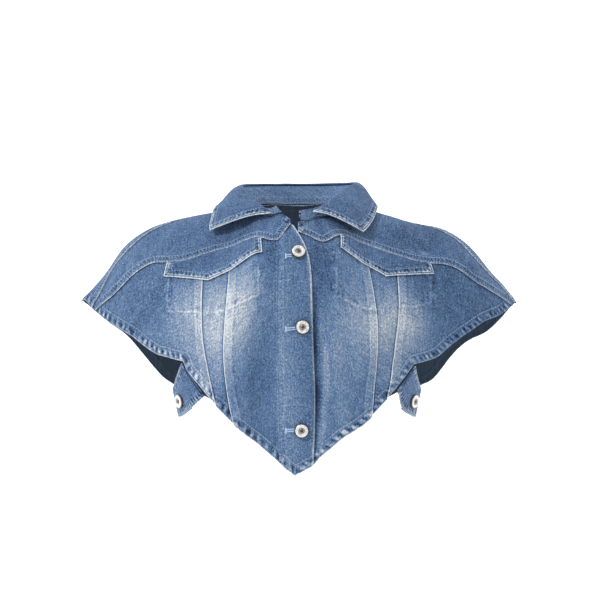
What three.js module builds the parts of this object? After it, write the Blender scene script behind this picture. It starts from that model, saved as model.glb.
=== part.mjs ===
// Cropped denim vest with pointed cap shoulders, worn and hollow.
// Sizes are millimetres. +Z is up, the front faces -Y, and +X is the wearer's left.
// The origin lies on the centre line, level with the base of the neck.
//
// The cloth is one surface that hangs from the shoulders. A place on it is told by x, the distance
// from the centre line, and s, the way down over the cloth from the shoulder ridge:
// positive down the front and negative down the back. The seams are short tables of such places.

import * as THREE from 'three';

// Thickness of the pieces and the room between them
const CLOTH = 1.6;
const DOUBLE_CLOTH = 2.0;
const COLLAR_CLOTH = 2.2;
const SEAM_GAP = 0.36;
const LAYER_GAP = 0.7;
const UPPER_LAYER = CLOTH / 2 + LAYER_GAP;

// Shank buttons, from the back of the post to the face
const BUTTON = {
  head: 8.4,
  ring: 6.9,
  recess: 4.3,
  post: 3.0,
  rise: 1.2,
  rim: 2.4,
  height: 3.9,
  sunk: 0.9,
  lip: 0.6,
  lipRise: 0.7,
  recessSlope: 0.5,
  recessDip: 0.1,
  sides: 14,
};
const BUTTON_SEAT = 0.3;
const PLACKET_BUTTONS = [{ x: 1.5, s: 139.6 }, { x: 6.4, s: 223.3 }, { x: 5.4, s: 339.6 }];

// Height of the shoulder ridge across the garment
const RIDGE = [
  { x: 0, height: 50 },
  { x: 25, height: 46 },
  { x: 45, height: 35 },
  { x: 62, height: 19 },
  { x: 75, height: 9 },
  { x: 95, height: 2.5 },
  { x: 120, height: -3 },
  { x: 150, height: -10 },
  { x: 175, height: -19 },
  { x: 200, height: -36.5 },
  { x: 225, height: -66 },
  { x: 245, height: -90 },
  { x: 258, height: -107.5 },
];

// How the cloth falls from the ridge: it bends down to a slope within the first bend,
// and turns from that slope to its final fall between turn and hang. Angles in degrees.
const FRONT_FALL = [
  { x: 0, slope: 42, bend: 5, turn: 60, hang: 235, fall: 92 },
  { x: 25, slope: 42, bend: 5, turn: 62, hang: 232, fall: 92 },
  { x: 45, slope: 43, bend: 7, turn: 72, hang: 226, fall: 93 },
  { x: 62, slope: 45, bend: 10, turn: 86, hang: 220, fall: 93 },
  { x: 75, slope: 47, bend: 12, turn: 95, hang: 216, fall: 93 },
  { x: 95, slope: 50, bend: 15, turn: 95, hang: 205, fall: 93 },
  { x: 120, slope: 53, bend: 18, turn: 82, hang: 178, fall: 92 },
  { x: 150, slope: 56, bend: 21, turn: 58, hang: 138, fall: 91 },
  { x: 175, slope: 55, bend: 22, turn: 42, hang: 108, fall: 90 },
  { x: 200, slope: 50, bend: 20, turn: 28, hang: 84, fall: 88 },
  { x: 225, slope: 47, bend: 15, turn: 14, hang: 56, fall: 85 },
  { x: 245, slope: 47, bend: 9, turn: 6, hang: 30, fall: 82 },
  { x: 258, slope: 47, bend: 7, turn: 4, hang: 24, fall: 80 },
];
const BACK_FALL = [
  { x: 0, slope: 41, bend: 5, turn: 50, hang: 170, fall: 90 },
  { x: 45, slope: 40, bend: 7, turn: 50, hang: 162, fall: 90 },
  { x: 62, slope: 40, bend: 9, turn: 50, hang: 156, fall: 90 },
  { x: 75, slope: 40, bend: 11, turn: 50, hang: 152, fall: 91 },
  { x: 95, slope: 42, bend: 13, turn: 47, hang: 146, fall: 91 },
  { x: 120, slope: 46, bend: 16, turn: 42, hang: 136, fall: 91 },
  { x: 150, slope: 50, bend: 20, turn: 38, hang: 120, fall: 91 },
  { x: 175, slope: 52, bend: 22, turn: 34, hang: 104, fall: 90 },
  { x: 200, slope: 50, bend: 20, turn: 28, hang: 84, fall: 88 },
  { x: 225, slope: 47, bend: 15, turn: 14, hang: 56, fall: 85 },
  { x: 245, slope: 47, bend: 9, turn: 6, hang: 30, fall: 82 },
  { x: 258, slope: 47, bend: 7, turn: 4, hang: 24, fall: 80 },
];
const FALL_STEPS = 60;

// The largest folds. Each is a soft ridge (rise above 0) or trough, centred at x and s,
// with its length along a line turned by lean degrees from straight down towards +x.
const FOLDS = [
  { x: 136, s: 0, lean: 0, length: 70, width: 32, rise: -4.4 },
  { x: -232, s: 0, lean: 0, length: 60, width: 22, rise: -3.8 },
  { x: 25, s: 255, lean: 0, length: 95, width: 9, rise: -3.2 },
  { x: 44, s: 250, lean: 1, length: 80, width: 13, rise: 3.0 },
  { x: -38, s: 290, lean: -3, length: 55, width: 11, rise: -3.0 },
  { x: -56, s: 250, lean: -4, length: 60, width: 12, rise: 2.6 },
  { x: -96, s: 215, lean: 28, length: 45, width: 11, rise: -2.6 },
  { x: 100, s: 205, lean: -24, length: 45, width: 11, rise: -2.6 },
  { x: -172, s: 118, lean: -38, length: 34, width: 10, rise: -2.6 },
  { x: 172, s: 112, lean: 38, length: 34, width: 10, rise: -2.6 },
  { x: 60, s: 320, lean: -30, length: 34, width: 9, rise: 2.0 },
  { x: -60, s: -235, lean: 12, length: 70, width: 13, rise: -3.0 },
  { x: 48, s: -250, lean: -9, length: 76, width: 14, rise: -3.2 },
  { x: 2, s: -215, lean: 3, length: 60, width: 15, rise: 2.6 },
  { x: -150, s: -130, lean: -34, length: 40, width: 12, rise: -2.6 },
  { x: 152, s: -124, lean: 33, length: 42, width: 12, rise: -2.4 },
];

// Neckline and shoulder seam, from the front opening to the wing tip
const NECK = {
  right: [
    { x: -7, s: 91 }, { x: -16, s: 79 }, { x: -27, s: 77 }, { x: -38, s: 68 }, { x: -50, s: 48 },
    { x: -58, s: 24 }, { x: -63.2, s: -6 },
  ],
  left: [
    { x: 1, s: 95 }, { x: 9, s: 93 }, { x: 21, s: 84 }, { x: 32, s: 75 }, { x: 43, s: 62 },
    { x: 54, s: 40 }, { x: 60, s: 20 }, { x: 64.7, s: -6 },
  ],
};
const BACK_NECK = [
  { x: -63.2, s: -6 }, { x: -50, s: -37 }, { x: -30, s: -55 }, { x: 0, s: -63 }, { x: 30, s: -55 },
  { x: 50, s: -37 }, { x: 64.7, s: -6 },
];
const SHOULDER = {
  right: [
    { x: -63.2, s: -6 }, { x: -100, s: -4 }, { x: -140, s: 4 }, { x: -175, s: 17 }, { x: -197, s: 26 },
    { x: -218, s: 27 }, { x: -227, s: 33 }, { x: -238.4, s: 37.5 },
  ],
  left: [
    { x: 64.7, s: -6 }, { x: 100, s: -5 }, { x: 140, s: 2 }, { x: 180, s: 16 }, { x: 205, s: 25 },
    { x: 228, s: 17 }, { x: 240, s: 10 }, { x: 252, s: 9 },
  ],
};

// Yoke seams, from the front opening outwards
const YOKE = {
  right: [
    { x: -7, s: 96.5 }, { x: -12, s: 104 }, { x: -20, s: 116.5 }, { x: -26, s: 116.5 }, { x: -33, s: 111.5 },
    { x: -40, s: 103.5 }, { x: -54, s: 90 }, { x: -69, s: 78 }, { x: -95, s: 73.5 }, { x: -127, s: 77 },
    { x: -147, s: 74 }, { x: -167, s: 68.5 }, { x: -198, s: 70.5 }, { x: -211, s: 66 }, { x: -225, s: 55 },
    { x: -235, s: 47.5 },
  ],
  left: [
    { x: 1, s: 108.5 }, { x: 10, s: 112.5 }, { x: 21, s: 116.5 }, { x: 29, s: 116.5 }, { x: 37, s: 109 },
    { x: 48, s: 92 }, { x: 60, s: 78 }, { x: 76, s: 70.5 }, { x: 111, s: 72.5 }, { x: 137, s: 74.5 },
    { x: 154, s: 72.5 }, { x: 176, s: 66.5 }, { x: 191, s: 64.5 }, { x: 203, s: 61 }, { x: 227, s: 39 },
    { x: 241, s: 25 }, { x: 250.2, s: 17.4 },
  ],
};
const BACK_YOKE = [
  { x: -250, s: -13 }, { x: -225, s: -46 }, { x: -190, s: -84 }, { x: -150, s: -108 }, { x: -100, s: -128 },
  { x: -50, s: -146 }, { x: 0, s: -154 }, { x: 50, s: -146 }, { x: 100, s: -128 }, { x: 150, s: -108 },
  { x: 190, s: -84 }, { x: 226, s: -46 }, { x: 253, s: -12 },
];

// Hems. The wing hem ends at the notch under the arm, the side edge carries the tab, and the vee
// runs from there to the point at the centre.
const HEM = {
  right: {
    wing: [
      { x: -235, s: 48.3 }, { x: -224, s: 74 }, { x: -213, s: 98 }, { x: -202, s: 120 }, { x: -189, s: 141 },
      { x: -172, s: 165 }, { x: -161, s: 177 }, { x: -151, s: 184 }, { x: -141, s: 191 },
      { x: -129.6, s: 198.7 },
    ],
    side: [{ x: -129.6, s: 198.7 }, { x: -125, s: 211 }, { x: -102, s: 248.4 }],
    vee: [
      { x: -102, s: 248.4 }, { x: -96, s: 258 }, { x: -81, s: 280 }, { x: -66, s: 304 }, { x: -50, s: 332 },
      { x: -33, s: 357.5 }, { x: -15, s: 379.5 }, { x: -2, s: 391 },
    ],
  },
  left: {
    wing: [
      { x: 250.2, s: 18 }, { x: 234, s: 55 }, { x: 216.5, s: 89.6 }, { x: 202, s: 120 }, { x: 190, s: 140 },
      { x: 176, s: 160 }, { x: 163, s: 178 }, { x: 154, s: 186 }, { x: 133.3, s: 200.4 },
    ],
    side: [{ x: 133.3, s: 200.4 }, { x: 123, s: 219 }, { x: 112.5, s: 236.3 }],
    vee: [
      { x: 112.5, s: 236.3 }, { x: 102, s: 252.5 }, { x: 84, s: 279 }, { x: 58, s: 318.5 }, { x: 43, s: 343.5 },
      { x: 25, s: 368.5 }, { x: 17.5, s: 378 }, { x: -2, s: 391 },
    ],
  },
};
const BACK_HEM = {
  right: {
    wing: [
      { x: -250, s: -14 }, { x: -236, s: -50 }, { x: -222, s: -84 }, { x: -205, s: -122 },
      { x: -185, s: -165 },
      { x: -163, s: -204 }, { x: -147, s: -222 },
    ],
    side: [{ x: -147, s: -222 }, { x: -120, s: -239 }],
    vee: [
      { x: -120, s: -239 }, { x: -96, s: -262 }, { x: -60, s: -301 }, { x: -30, s: -334 }, { x: 0, s: -362 },
    ],
  },
  left: {
    wing: [
      { x: 253, s: -13 }, { x: 240, s: -50 }, { x: 225, s: -89 }, { x: 208, s: -124 }, { x: 186, s: -166 },
      { x: 164, s: -207 }, { x: 147, s: -223 },
    ],
    side: [{ x: 147, s: -223 }, { x: 120, s: -240 }],
    vee: [
      { x: 120, s: -240 }, { x: 96, s: -262 }, { x: 60, s: -301 }, { x: 30, s: -334 }, { x: 0, s: -362 },
    ],
  },
};

// Tuck seams and the seams beside the centre back: x at each share of the way from yoke seam to hem
const TUCK = {
  right: {
    inner: [
      { way: 0, x: -74 }, { way: 0.2, x: -75.5 }, { way: 0.4, x: -78.8 }, { way: 0.55, x: -81 },
      { way: 0.7, x: -80.2 },
      { way: 0.86, x: -75.5 }, { way: 1, x: -69.5 },
    ],
    outer: [
      { way: 0, x: -109 }, { way: 0.2, x: -108 }, { way: 0.4, x: -108 }, { way: 0.62, x: -106.5 },
      { way: 0.8, x: -100.5 },
      { way: 1, x: -91 },
    ],
  },
  left: {
    inner: [
      { way: 0, x: 75.6 }, { way: 0.16, x: 80 }, { way: 0.34, x: 85.6 }, { way: 0.5, x: 89.2 },
      { way: 0.7, x: 89 },
      { way: 0.86, x: 85.5 }, { way: 1, x: 83 },
    ],
    outer: [
      { way: 0, x: 115.7 }, { way: 0.2, x: 115.4 }, { way: 0.4, x: 116 }, { way: 0.65, x: 112.4 },
      { way: 0.85, x: 107 },
      { way: 1, x: 102 },
    ],
  },
};
const BACK_SEAM_BOTTOM = 46;

// Placket on the right front, over the button stand of the left front
const PLACKET_SEAM = [{ s: 116.5, x: -20 }, { s: 191, x: -21 }, { s: 304, x: -19.5 }, { s: 375, x: -17 }];
const PLACKET_EDGE = [
  { s: 96, x: -6 }, { s: 112, x: 1 }, { s: 128, x: 9 }, { s: 149, x: 14.5 }, { s: 192, x: 16.5 },
  { s: 247, x: 17.6 },
  { s: 303, x: 19.5 }, { s: 345, x: 19 }, { s: 376, x: 18 },
];
const STAND_SEAM = [
  { s: 116.5, x: 21 }, { s: 190, x: 24.5 }, { s: 234, x: 28.5 }, { s: 300, x: 34 }, { s: 345, x: 28 },
  { s: 370, x: 23.5 },
];
const STAND_REACH = -13;
// How much shorter than the hem the button stand is under the placket, and the x between which it shortens
const STAND_SHORT = 3;
const STAND_SHORTENS = { from: 18, to: 11 };
const PLACKET_LAP = 2.5;

// Pocket flaps: top edge under the yoke seam, the three lower corners, and how far the long lower edge rises
// at its middle, which makes it straight from the front
const FLAP = {
  right: {
    from: -39.5,
    to: -147.5,
    corners: [{ x: -38.5, s: 128 }, { x: -99.5, s: 117.5 }, { x: -152, s: 92 }],
    lift: 6,
  },
  left: {
    from: 48.4,
    to: 152,
    corners: [{ x: 47.3, s: 114.5 }, { x: 100.5, s: 111.5 }, { x: 156.7, s: 87 }],
    lift: 6.8,
  },
};
const FLAP_DROP = 1.2;
const FLAP_CELLS = 6;

// Collar: roll line and outer edge of the leaf from the right front round the back to the left front
const ROLL = [
  { x: -31, y: -64.5, z: -1 }, { x: -40, y: -56, z: 6.5 }, { x: -48.5, y: -41, z: 13.5 },
  { x: -57, y: -20, z: 23 },
  { x: -65.5, y: 4, z: 32 }, { x: -64, y: 30, z: 36 }, { x: -40, y: 52, z: 38 }, { x: 0, y: 60, z: 38.5 },
  { x: 42, y: 54, z: 38.5 }, { x: 67, y: 34, z: 38.5 }, { x: 70, y: 8, z: 36.5 }, { x: 56.5, y: -18, z: 29 },
  { x: 46.5, y: -40, z: 20 }, { x: 35, y: -54, z: 10.5 }, { x: 20, y: -68, z: 0.5 },
];
const LEAF_EDGE = [
  { x: -100, y: -47, z: -20.5 }, { x: -100.5, y: -37, z: -14 }, { x: -99, y: -24, z: -5 },
  { x: -97, y: -10, z: 5 },
  { x: -93, y: 8, z: 8 }, { x: -84, y: 36, z: 3 }, { x: -50, y: 66, z: -2 }, { x: 0, y: 77, z: -3 },
  { x: 50, y: 68, z: -1 }, { x: 84, y: 38, z: 5 }, { x: 93.5, y: 8, z: 9 }, { x: 93, y: -12, z: 5 },
  { x: 88.5, y: -30, z: -6 }, { x: 82, y: -48, z: -16 }, { x: 75.5, y: -63, z: -23 },
];
// The rolled edge of the leaf and its fall, as shares of the way out and steps over the roll line
const LEAF_PROFILE = [
  { out: -2.4, up: -0.7, share: 0 }, { out: 0, up: 0, share: 0 }, { out: 2.6, up: -0.9, share: 0 },
  { out: 3.2, up: 1.6, share: 0.2 }, { out: 2.0, up: 2.6, share: 0.48 }, { out: 0.8, up: 1.6, share: 0.76 },
  { out: 0, up: 0, share: 1 },
];
const STAND_TOP_DROP = 2.9;
const STAND_TOP_IN = { back: 1.6, front: 6.5 };
const STAND_EASE_SHARE = 0.3;
const STAND_FOOT = 2.1;
// Share of the stand's length over which its top leaves the roll line at each end
const STAND_END_SHARE = 0.1;
const STAND_REACH_IN = 0.01;
const STAND_END_ROOM = 4;
const STAND_END = {
  right: { foot: { x: -17.5, s: 78 }, top: { x: -24.5, y: -59, z: 8.5 } },
  left: { foot: { x: 4, s: 93 }, top: { x: 4.5, y: -67, z: 2.5 } },
};

// Side tabs: upper and lower edge from the front's side edge round the ribs to the back's side edge,
// for the left side; the right side mirrors them
const TAB_UPPER = [
  { x: 136, y: -60, z: -186 }, { x: 141, y: -34, z: -199 }, { x: 143, y: -8, z: -203 },
  { x: 144, y: 18, z: -203 },
  { x: 145, y: 42, z: -202 },
];
const TAB_LOWER = [
  { x: 118, y: -78, z: -222 }, { x: 130, y: -50, z: -232 }, { x: 136, y: -14, z: -236 },
  { x: 138, y: 16, z: -235 },
  { x: 132, y: 45, z: -227 },
];
const FRONT_TAB_ROOT = 0.012;
const FRONT_TAB_END = 0.5;
const BACK_TAB_START = 0.19;
const BACK_TAB_ROOT = 0.988;
const TAB_BUTTON = { along: 0.27, down: 0.6, step: 0.02 };
const TAB_BUTTON_LIFT = 0.3;

// Grid of each kind of piece
const ROWS = { front: 11, yoke: 5, back: 10, backYoke: 6, placket: 16, flap: 3 };

const DENIM = new THREE.MeshStandardMaterial({ color: '#5f7896', roughness: 0.92, metalness: 0 });
const STEEL = new THREE.MeshStandardMaterial({ color: '#c9ccd0', roughness: 0.32, metalness: 1 });

const vest = new THREE.Group();

// Curves through short tables

// Value of one column at a place along another, through the rows of a table, with smooth slopes.
function read(rows, key, at, column) {
  const rising = rows[rows.length - 1][key] > rows[0][key] ? 1 : -1;
  let i = 0;
  while (i < rows.length - 2 && (at - rows[i + 1][key]) * rising > 0) i += 1;
  const slope = (j) => {
    const before = rows[Math.max(0, j - 1)];
    const after = rows[Math.min(rows.length - 1, j + 1)];
    return (after[column] - before[column]) / (after[key] - before[key]);
  };
  const a = rows[i];
  const b = rows[i + 1];
  const width = b[key] - a[key];
  const t = (at - a[key]) / width;
  const ease = t * t * (3 - 2 * t);
  const start = t * (1 - t) * (1 - t);
  const end = t * t * (t - 1);
  return a[column] * (1 - ease) + b[column] * ease + width * (start * slope(i) + end * slope(i + 1));
}

function mix(a, b, share) {
  return a + (b - a) * share;
}

// Eases from 0 at one end to 1 at the other; the ends may run either way.
function smoothStep(from, to, at) {
  const t = THREE.MathUtils.clamp((at - from) / (to - from), 0, 1);
  return t * t * (3 - 2 * t);
}

// The cloth surface

function foldHeight(x, s) {
  let height = 0;
  for (const fold of FOLDS) {
    const lean = THREE.MathUtils.degToRad(fold.lean);
    const dx = x - fold.x;
    const ds = s - fold.s;
    const along = ds * Math.cos(lean) + dx * Math.sin(lean);
    const across = dx * Math.cos(lean) - ds * Math.sin(lean);
    height += fold.rise * Math.exp(-((along / fold.length) ** 2) - (across / fold.width) ** 2);
  }
  return height;
}

// The smooth form under the folds: the fall is walked down from the ridge in short steps.
function plainCloth(x, s) {
  const out = Math.abs(x);
  const rows = s < 0 ? BACK_FALL : FRONT_FALL;
  const way = s < 0 ? 1 : -1;
  const slope = read(rows, 'x', out, 'slope');
  const bend = read(rows, 'x', out, 'bend');
  const turn = read(rows, 'x', out, 'turn');
  const hang = read(rows, 'x', out, 'hang');
  const fall = read(rows, 'x', out, 'fall');
  const step = Math.abs(s) / FALL_STEPS;
  let y = 0;
  let z = read(RIDGE, 'x', out, 'height');
  for (let i = 0; i < FALL_STEPS; i += 1) {
    const at = (i + 0.5) * step;
    const angle = slope * (1 - Math.exp(-at / bend)) + (fall - slope) * smoothStep(turn, hang, at);
    y += way * Math.cos(THREE.MathUtils.degToRad(angle)) * step;
    z -= Math.sin(THREE.MathUtils.degToRad(angle)) * step;
  }
  return new THREE.Vector3(x, y, z);
}

function normalOf(surface, x, s) {
  const step = 1.5;
  const across = surface(x + step, s).sub(surface(x - step, s));
  const up = surface(x, s - step).sub(surface(x, s + step));
  return across.cross(up).normalize();
}

function foldedCloth(x, s) {
  return plainCloth(x, s).addScaledVector(normalOf(plainCloth, x, s), foldHeight(x, s));
}

function cloth(place) {
  return { point: foldedCloth(place.x, place.s), normal: normalOf(foldedCloth, place.x, place.s) };
}

// Walls

// A closed wall over a grid of surface points with normals, from one height over them to another.
function wallGeometry(grid, low, high) {
  const columns = grid.length - 1;
  const rows = grid[0].length - 1;
  const geometry = new THREE.BoxGeometry(1, 1, 1, columns, rows, 1);
  const position = geometry.getAttribute('position');
  for (let i = 0; i < position.count; i += 1) {
    const column = Math.round((position.getX(i) + 0.5) * columns);
    const row = Math.round((0.5 - position.getY(i)) * rows);
    const { point, normal } = grid[column][row];
    const height = position.getZ(i) > 0 ? high : low;
    const place = point.clone().addScaledVector(normal, height);
    position.setXYZ(i, place.x, place.y, place.z);
  }
  geometry.computeVertexNormals();
  return geometry;
}

function addPiece(name, geometry, material) {
  const mesh = new THREE.Mesh(geometry, material);
  mesh.name = name;
  vest.add(mesh);
  return mesh;
}

// Moves the border of a grid of places inwards, so that neighbours stay apart at their seams.
function withSeamGap(places) {
  const lastColumn = places.length - 1;
  const lastRow = places[0].length - 1;
  const towards = (place, inner) => {
    const dx = inner.x - place.x;
    const ds = inner.s - place.s;
    const share = SEAM_GAP / 2 / Math.hypot(dx, ds);
    return { x: place.x + dx * share, s: place.s + ds * share };
  };
  const narrowed = places.map((column, i) => column.map((place, j) => {
    if (i === 0) return towards(place, places[1][j]);
    if (i === lastColumn) return towards(place, places[lastColumn - 1][j]);
    return place;
  }));
  return narrowed.map((column) => column.map((place, j) => {
    if (j === 0) return towards(place, column[1]);
    if (j === lastRow) return towards(place, column[lastRow - 1]);
    return place;
  }));
}

// A piece of the cloth. Its stations run towards +x, and each holds a place on the upper edge,
// a place on the lower edge and the number of cells up to the next station.
// bow gives how far each side edge swings from straight, at a share of the way down.
function panelPlaces(stations, rows, bow = {}) {
  const places = [];
  const total = stations.slice(0, -1).reduce((sum, station) => sum + station.cells, 0);
  let count = 0;
  for (let k = 0; k < stations.length - 1; k += 1) {
    const { cells, upper, lower } = stations[k];
    const last = k === stations.length - 2 ? cells : cells - 1;
    for (let i = 0; i <= last; i += 1) {
      const top = upper(i / cells);
      const bottom = lower(i / cells);
      const across = count / total;
      const column = [];
      for (let j = 0; j <= rows; j += 1) {
        const way = j / rows;
        const swing = (1 - across) * (bow.start ? bow.start(way) : 0) + across * (bow.end ? bow.end(way) : 0);
        column.push({ x: mix(top.x, bottom.x, way) + swing, s: mix(top.s, bottom.s, way) });
      }
      places.push(column);
      count += 1;
    }
  }
  return places;
}

function addPanel(name, places, low = -CLOTH / 2, high = CLOTH / 2, material = DENIM) {
  const grid = withSeamGap(places).map((column) => column.map(cloth));
  const firstColumn = places[0];
  const runsDown = firstColumn[0].s < firstColumn[firstColumn.length - 1].s;
  const ordered = runsDown ? grid : grid.map((column) => column.slice().reverse());
  return addPiece(name, wallGeometry(ordered, low, high), material);
}

// A piece of two layers of cloth that lies on the panels
function addUpperPiece(name, places) {
  return addPanel(name, places, UPPER_LAYER, UPPER_LAYER + DOUBLE_CLOTH);
}

// A place on a seam that is read by its x
function on(rows, x) {
  return { x, s: read(rows, 'x', x, 's') };
}

// A stretch of a seam between two x, as a function of the share of the way
function stretch(rows, from, to) {
  return (share) => on(rows, mix(from, to, share));
}

// How far a tuck swings from the straight line between its ends
function swingOf(rows) {
  const first = rows[0].x;
  const last = rows[rows.length - 1].x;
  return (way) => read(rows, 'way', way, 'x') - mix(first, last, way);
}

function ends(rows) {
  return [rows[0].x, rows[rows.length - 1].x];
}

// Front panels

const CELLS = { centre: 5, middle: 3, chest: 3, underArm: 2, wing: 5, tip: 3 };
// Where the yoke seam is cut into stretches over the side panel, from the outer tuck to the tip
const YOKE_STOPS = {
  right: { chest: -128, underArm: -150, wing: -200, tip: -235 },
  left: { chest: 132, underArm: 153, wing: 205, tip: 250.2 },
};
// Where the wing hem is cut into stretches, and how far each cut lies towards the next one
const WING_STOP = { right: -189, left: 190 };
const WING_STOP_EASE = 0.4;
// Share of the way from the outer tuck to the chest stop at which the side edge's stretch begins
const SIDE_STOP = 1 / 3;
const YOKE_FRONT_CELLS = 2;

// Turns stations written from the centre outwards towards +x.
function towardsLeft(stations) {
  if (stations[0].upper(0).x < stations[stations.length - 1].upper(0).x) return stations;
  const turned = [];
  for (let k = stations.length - 1; k > 0; k -= 1) {
    const { upper, lower, cells } = stations[k - 1];
    turned.push({ cells, upper: (share) => upper(1 - share), lower: (share) => lower(1 - share) });
  }
  turned.push({ cells: 0, upper: stations[0].upper, lower: stations[0].lower });
  return turned;
}

// Stations for stretches given as [cells, upper stretch, lower stretch] from the centre outwards
function stationsOf(stretches) {
  const stations = stretches.map(([cells, upper, lower]) => ({ cells, upper, lower }));
  const [, upper, lower] = stretches[stretches.length - 1];
  stations.push({ cells: 0, upper: () => upper(1), lower: () => lower(1) });
  return towardsLeft(stations);
}

function addFrontPanels(side) {
  const yoke = YOKE[side];
  const hem = HEM[side];
  const { inner, outer } = TUCK[side];
  const seam = side === 'right' ? PLACKET_SEAM : STAND_SEAM;
  const centreTop = seam[0].x;
  const centreBottom = seam[seam.length - 1].x;
  const [innerTop, innerBottom] = ends(inner);
  const [outerTop, outerBottom] = ends(outer);
  const stops = YOKE_STOPS[side];
  const sideStop = mix(outerTop, stops.chest, SIDE_STOP);
  const tip = hem.wing[0].x;
  const notch = hem.side[0].x;
  const sideEnd = hem.vee[0].x;
  const wingStart = mix(notch, WING_STOP[side], WING_STOP_EASE);
  const tipStart = mix(WING_STOP[side], tip, WING_STOP_EASE);
  const seamSwing = (way) => {
    const s = mix(read(yoke, 'x', centreTop, 's'), read(hem.vee, 'x', centreBottom, 's'), way);
    return read(seam, 's', s, 'x') - mix(centreTop, centreBottom, way);
  };
  const bowBetween = (nearCentre, outwards) => (side === 'right'
    ? { start: outwards, end: nearCentre }
    : { start: nearCentre, end: outwards });

  const centre = stationsOf([
    [CELLS.centre, stretch(yoke, centreTop, innerTop), stretch(hem.vee, centreBottom, innerBottom)],
  ]);
  const centreBow = bowBetween(seamSwing, swingOf(inner));
  addPanel(`front_centre_${side}`, panelPlaces(centre, ROWS.front, centreBow));

  const middle = stationsOf([
    [CELLS.middle, stretch(yoke, innerTop, outerTop), stretch(hem.vee, innerBottom, outerBottom)],
  ]);
  const middleBow = bowBetween(swingOf(inner), swingOf(outer));
  addPanel(`front_middle_${side}`, panelPlaces(middle, ROWS.front, middleBow));

  const wing = stationsOf([
    [1, stretch(yoke, outerTop, sideStop), stretch(hem.vee, outerBottom, sideEnd)],
    [CELLS.underArm, stretch(yoke, sideStop, stops.chest), stretch(hem.side, sideEnd, notch)],
    [CELLS.chest, stretch(yoke, stops.chest, stops.underArm), stretch(hem.wing, notch, wingStart)],
    [CELLS.wing, stretch(yoke, stops.underArm, stops.wing), stretch(hem.wing, wingStart, tipStart)],
    [CELLS.tip, stretch(yoke, stops.wing, stops.tip), stretch(hem.wing, tipStart, tip)],
  ]);
  const wingBow = bowBetween(swingOf(outer), () => 0);
  addPanel(`front_side_${side}`, panelPlaces(wing, ROWS.front, wingBow));

  const neck = NECK[side];
  const shoulder = SHOULDER[side];
  const [start, neckSide] = ends(neck);
  const [, shoulderTip] = ends(shoulder);
  const yokePiece = stationsOf([
    [YOKE_FRONT_CELLS, stretch(neck, start, centreTop), stretch(yoke, start, centreTop)],
    [CELLS.centre - 1, stretch(neck, centreTop, neckSide), stretch(yoke, centreTop, neckSide)],
    [1, stretch(shoulder, neckSide, innerTop), stretch(yoke, neckSide, innerTop)],
    [CELLS.middle, stretch(shoulder, innerTop, outerTop), stretch(yoke, innerTop, outerTop)],
    [1, stretch(shoulder, outerTop, sideStop), stretch(yoke, outerTop, sideStop)],
    [CELLS.underArm, stretch(shoulder, sideStop, stops.chest), stretch(yoke, sideStop, stops.chest)],
    [CELLS.chest, stretch(shoulder, stops.chest, stops.underArm), stretch(yoke, stops.chest, stops.underArm)],
    [CELLS.wing, stretch(shoulder, stops.underArm, stops.wing), stretch(yoke, stops.underArm, stops.wing)],
    [CELLS.tip, stretch(shoulder, stops.wing, shoulderTip), stretch(yoke, stops.wing, stops.tip)],
  ]);
  addPanel(`front_yoke_${side}`, panelPlaces(yokePiece, ROWS.yoke));
}

addFrontPanels('right');
addFrontPanels('left');

// Back panels. Their columns follow the back yoke's, so that the seam between them stays even.

const BACK_NECK_CELLS = 8;
// How far the end of the back yoke swings out round the wing tip, where it crosses the shoulder ridge
const TIP_SWING = { right: 6.5, left: 3.5 };
// Shares of the wing hem and of the vee at which the side back panel's stretches end
const BACK_WING_STOP = 0.66;
const BACK_VEE_STOP = 0.55;

// Where the back yoke seam and the shoulder seam are cut into stretches, from the neck outwards
function shoulderStops(side) {
  const shoulder = SHOULDER[side];
  const stops = YOKE_STOPS[side];
  const innerTop = TUCK[side].inner[0].x;
  const outerTop = TUCK[side].outer[0].x;
  const yokeTip = side === 'right' ? BACK_YOKE[0].x : BACK_YOKE[BACK_YOKE.length - 1].x;
  return {
    collar: { cells: 1, from: shoulder[0].x, to: innerTop },
    middle: { cells: CELLS.middle, from: innerTop, to: outerTop },
    chest: { cells: 1 + CELLS.underArm, from: outerTop, to: stops.chest },
    underArm: { cells: CELLS.chest, from: stops.chest, to: stops.underArm },
    wing: { cells: CELLS.wing, from: stops.underArm, to: stops.wing },
    tip: { cells: CELLS.tip, from: stops.wing, to: shoulder[shoulder.length - 1].x, yokeTo: yokeTip },
  };
}

function onBackYoke(stop) {
  return stretch(BACK_YOKE, stop.from, stop.yokeTo ?? stop.to);
}

function addBackSide(side) {
  const hem = BACK_HEM[side];
  const stops = shoulderStops(side);
  const tip = hem.wing[0].x;
  const notch = hem.side[0].x;
  const sideEnd = hem.vee[0].x;
  const seamBottom = Math.sign(tip) * BACK_SEAM_BOTTOM;
  const veeStop = mix(seamBottom, sideEnd, BACK_VEE_STOP);
  const wingStop = mix(notch, tip, BACK_WING_STOP);
  const stations = stationsOf([
    [stops.middle.cells, onBackYoke(stops.middle), stretch(hem.vee, seamBottom, veeStop)],
    [stops.chest.cells, onBackYoke(stops.chest), stretch(hem.vee, veeStop, sideEnd)],
    [stops.underArm.cells, onBackYoke(stops.underArm), stretch(hem.side, sideEnd, notch)],
    [stops.wing.cells, onBackYoke(stops.wing), stretch(hem.wing, notch, wingStop)],
    [stops.tip.cells, onBackYoke(stops.tip), stretch(hem.wing, wingStop, tip)],
  ]);
  addPanel(`back_side_${side}`, panelPlaces(stations, ROWS.back));
}

// Reads a stretch written from the centre outwards the other way round.
function reversed([cells, upper, lower]) {
  return [cells, (share) => upper(1 - share), (share) => lower(1 - share)];
}

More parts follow.
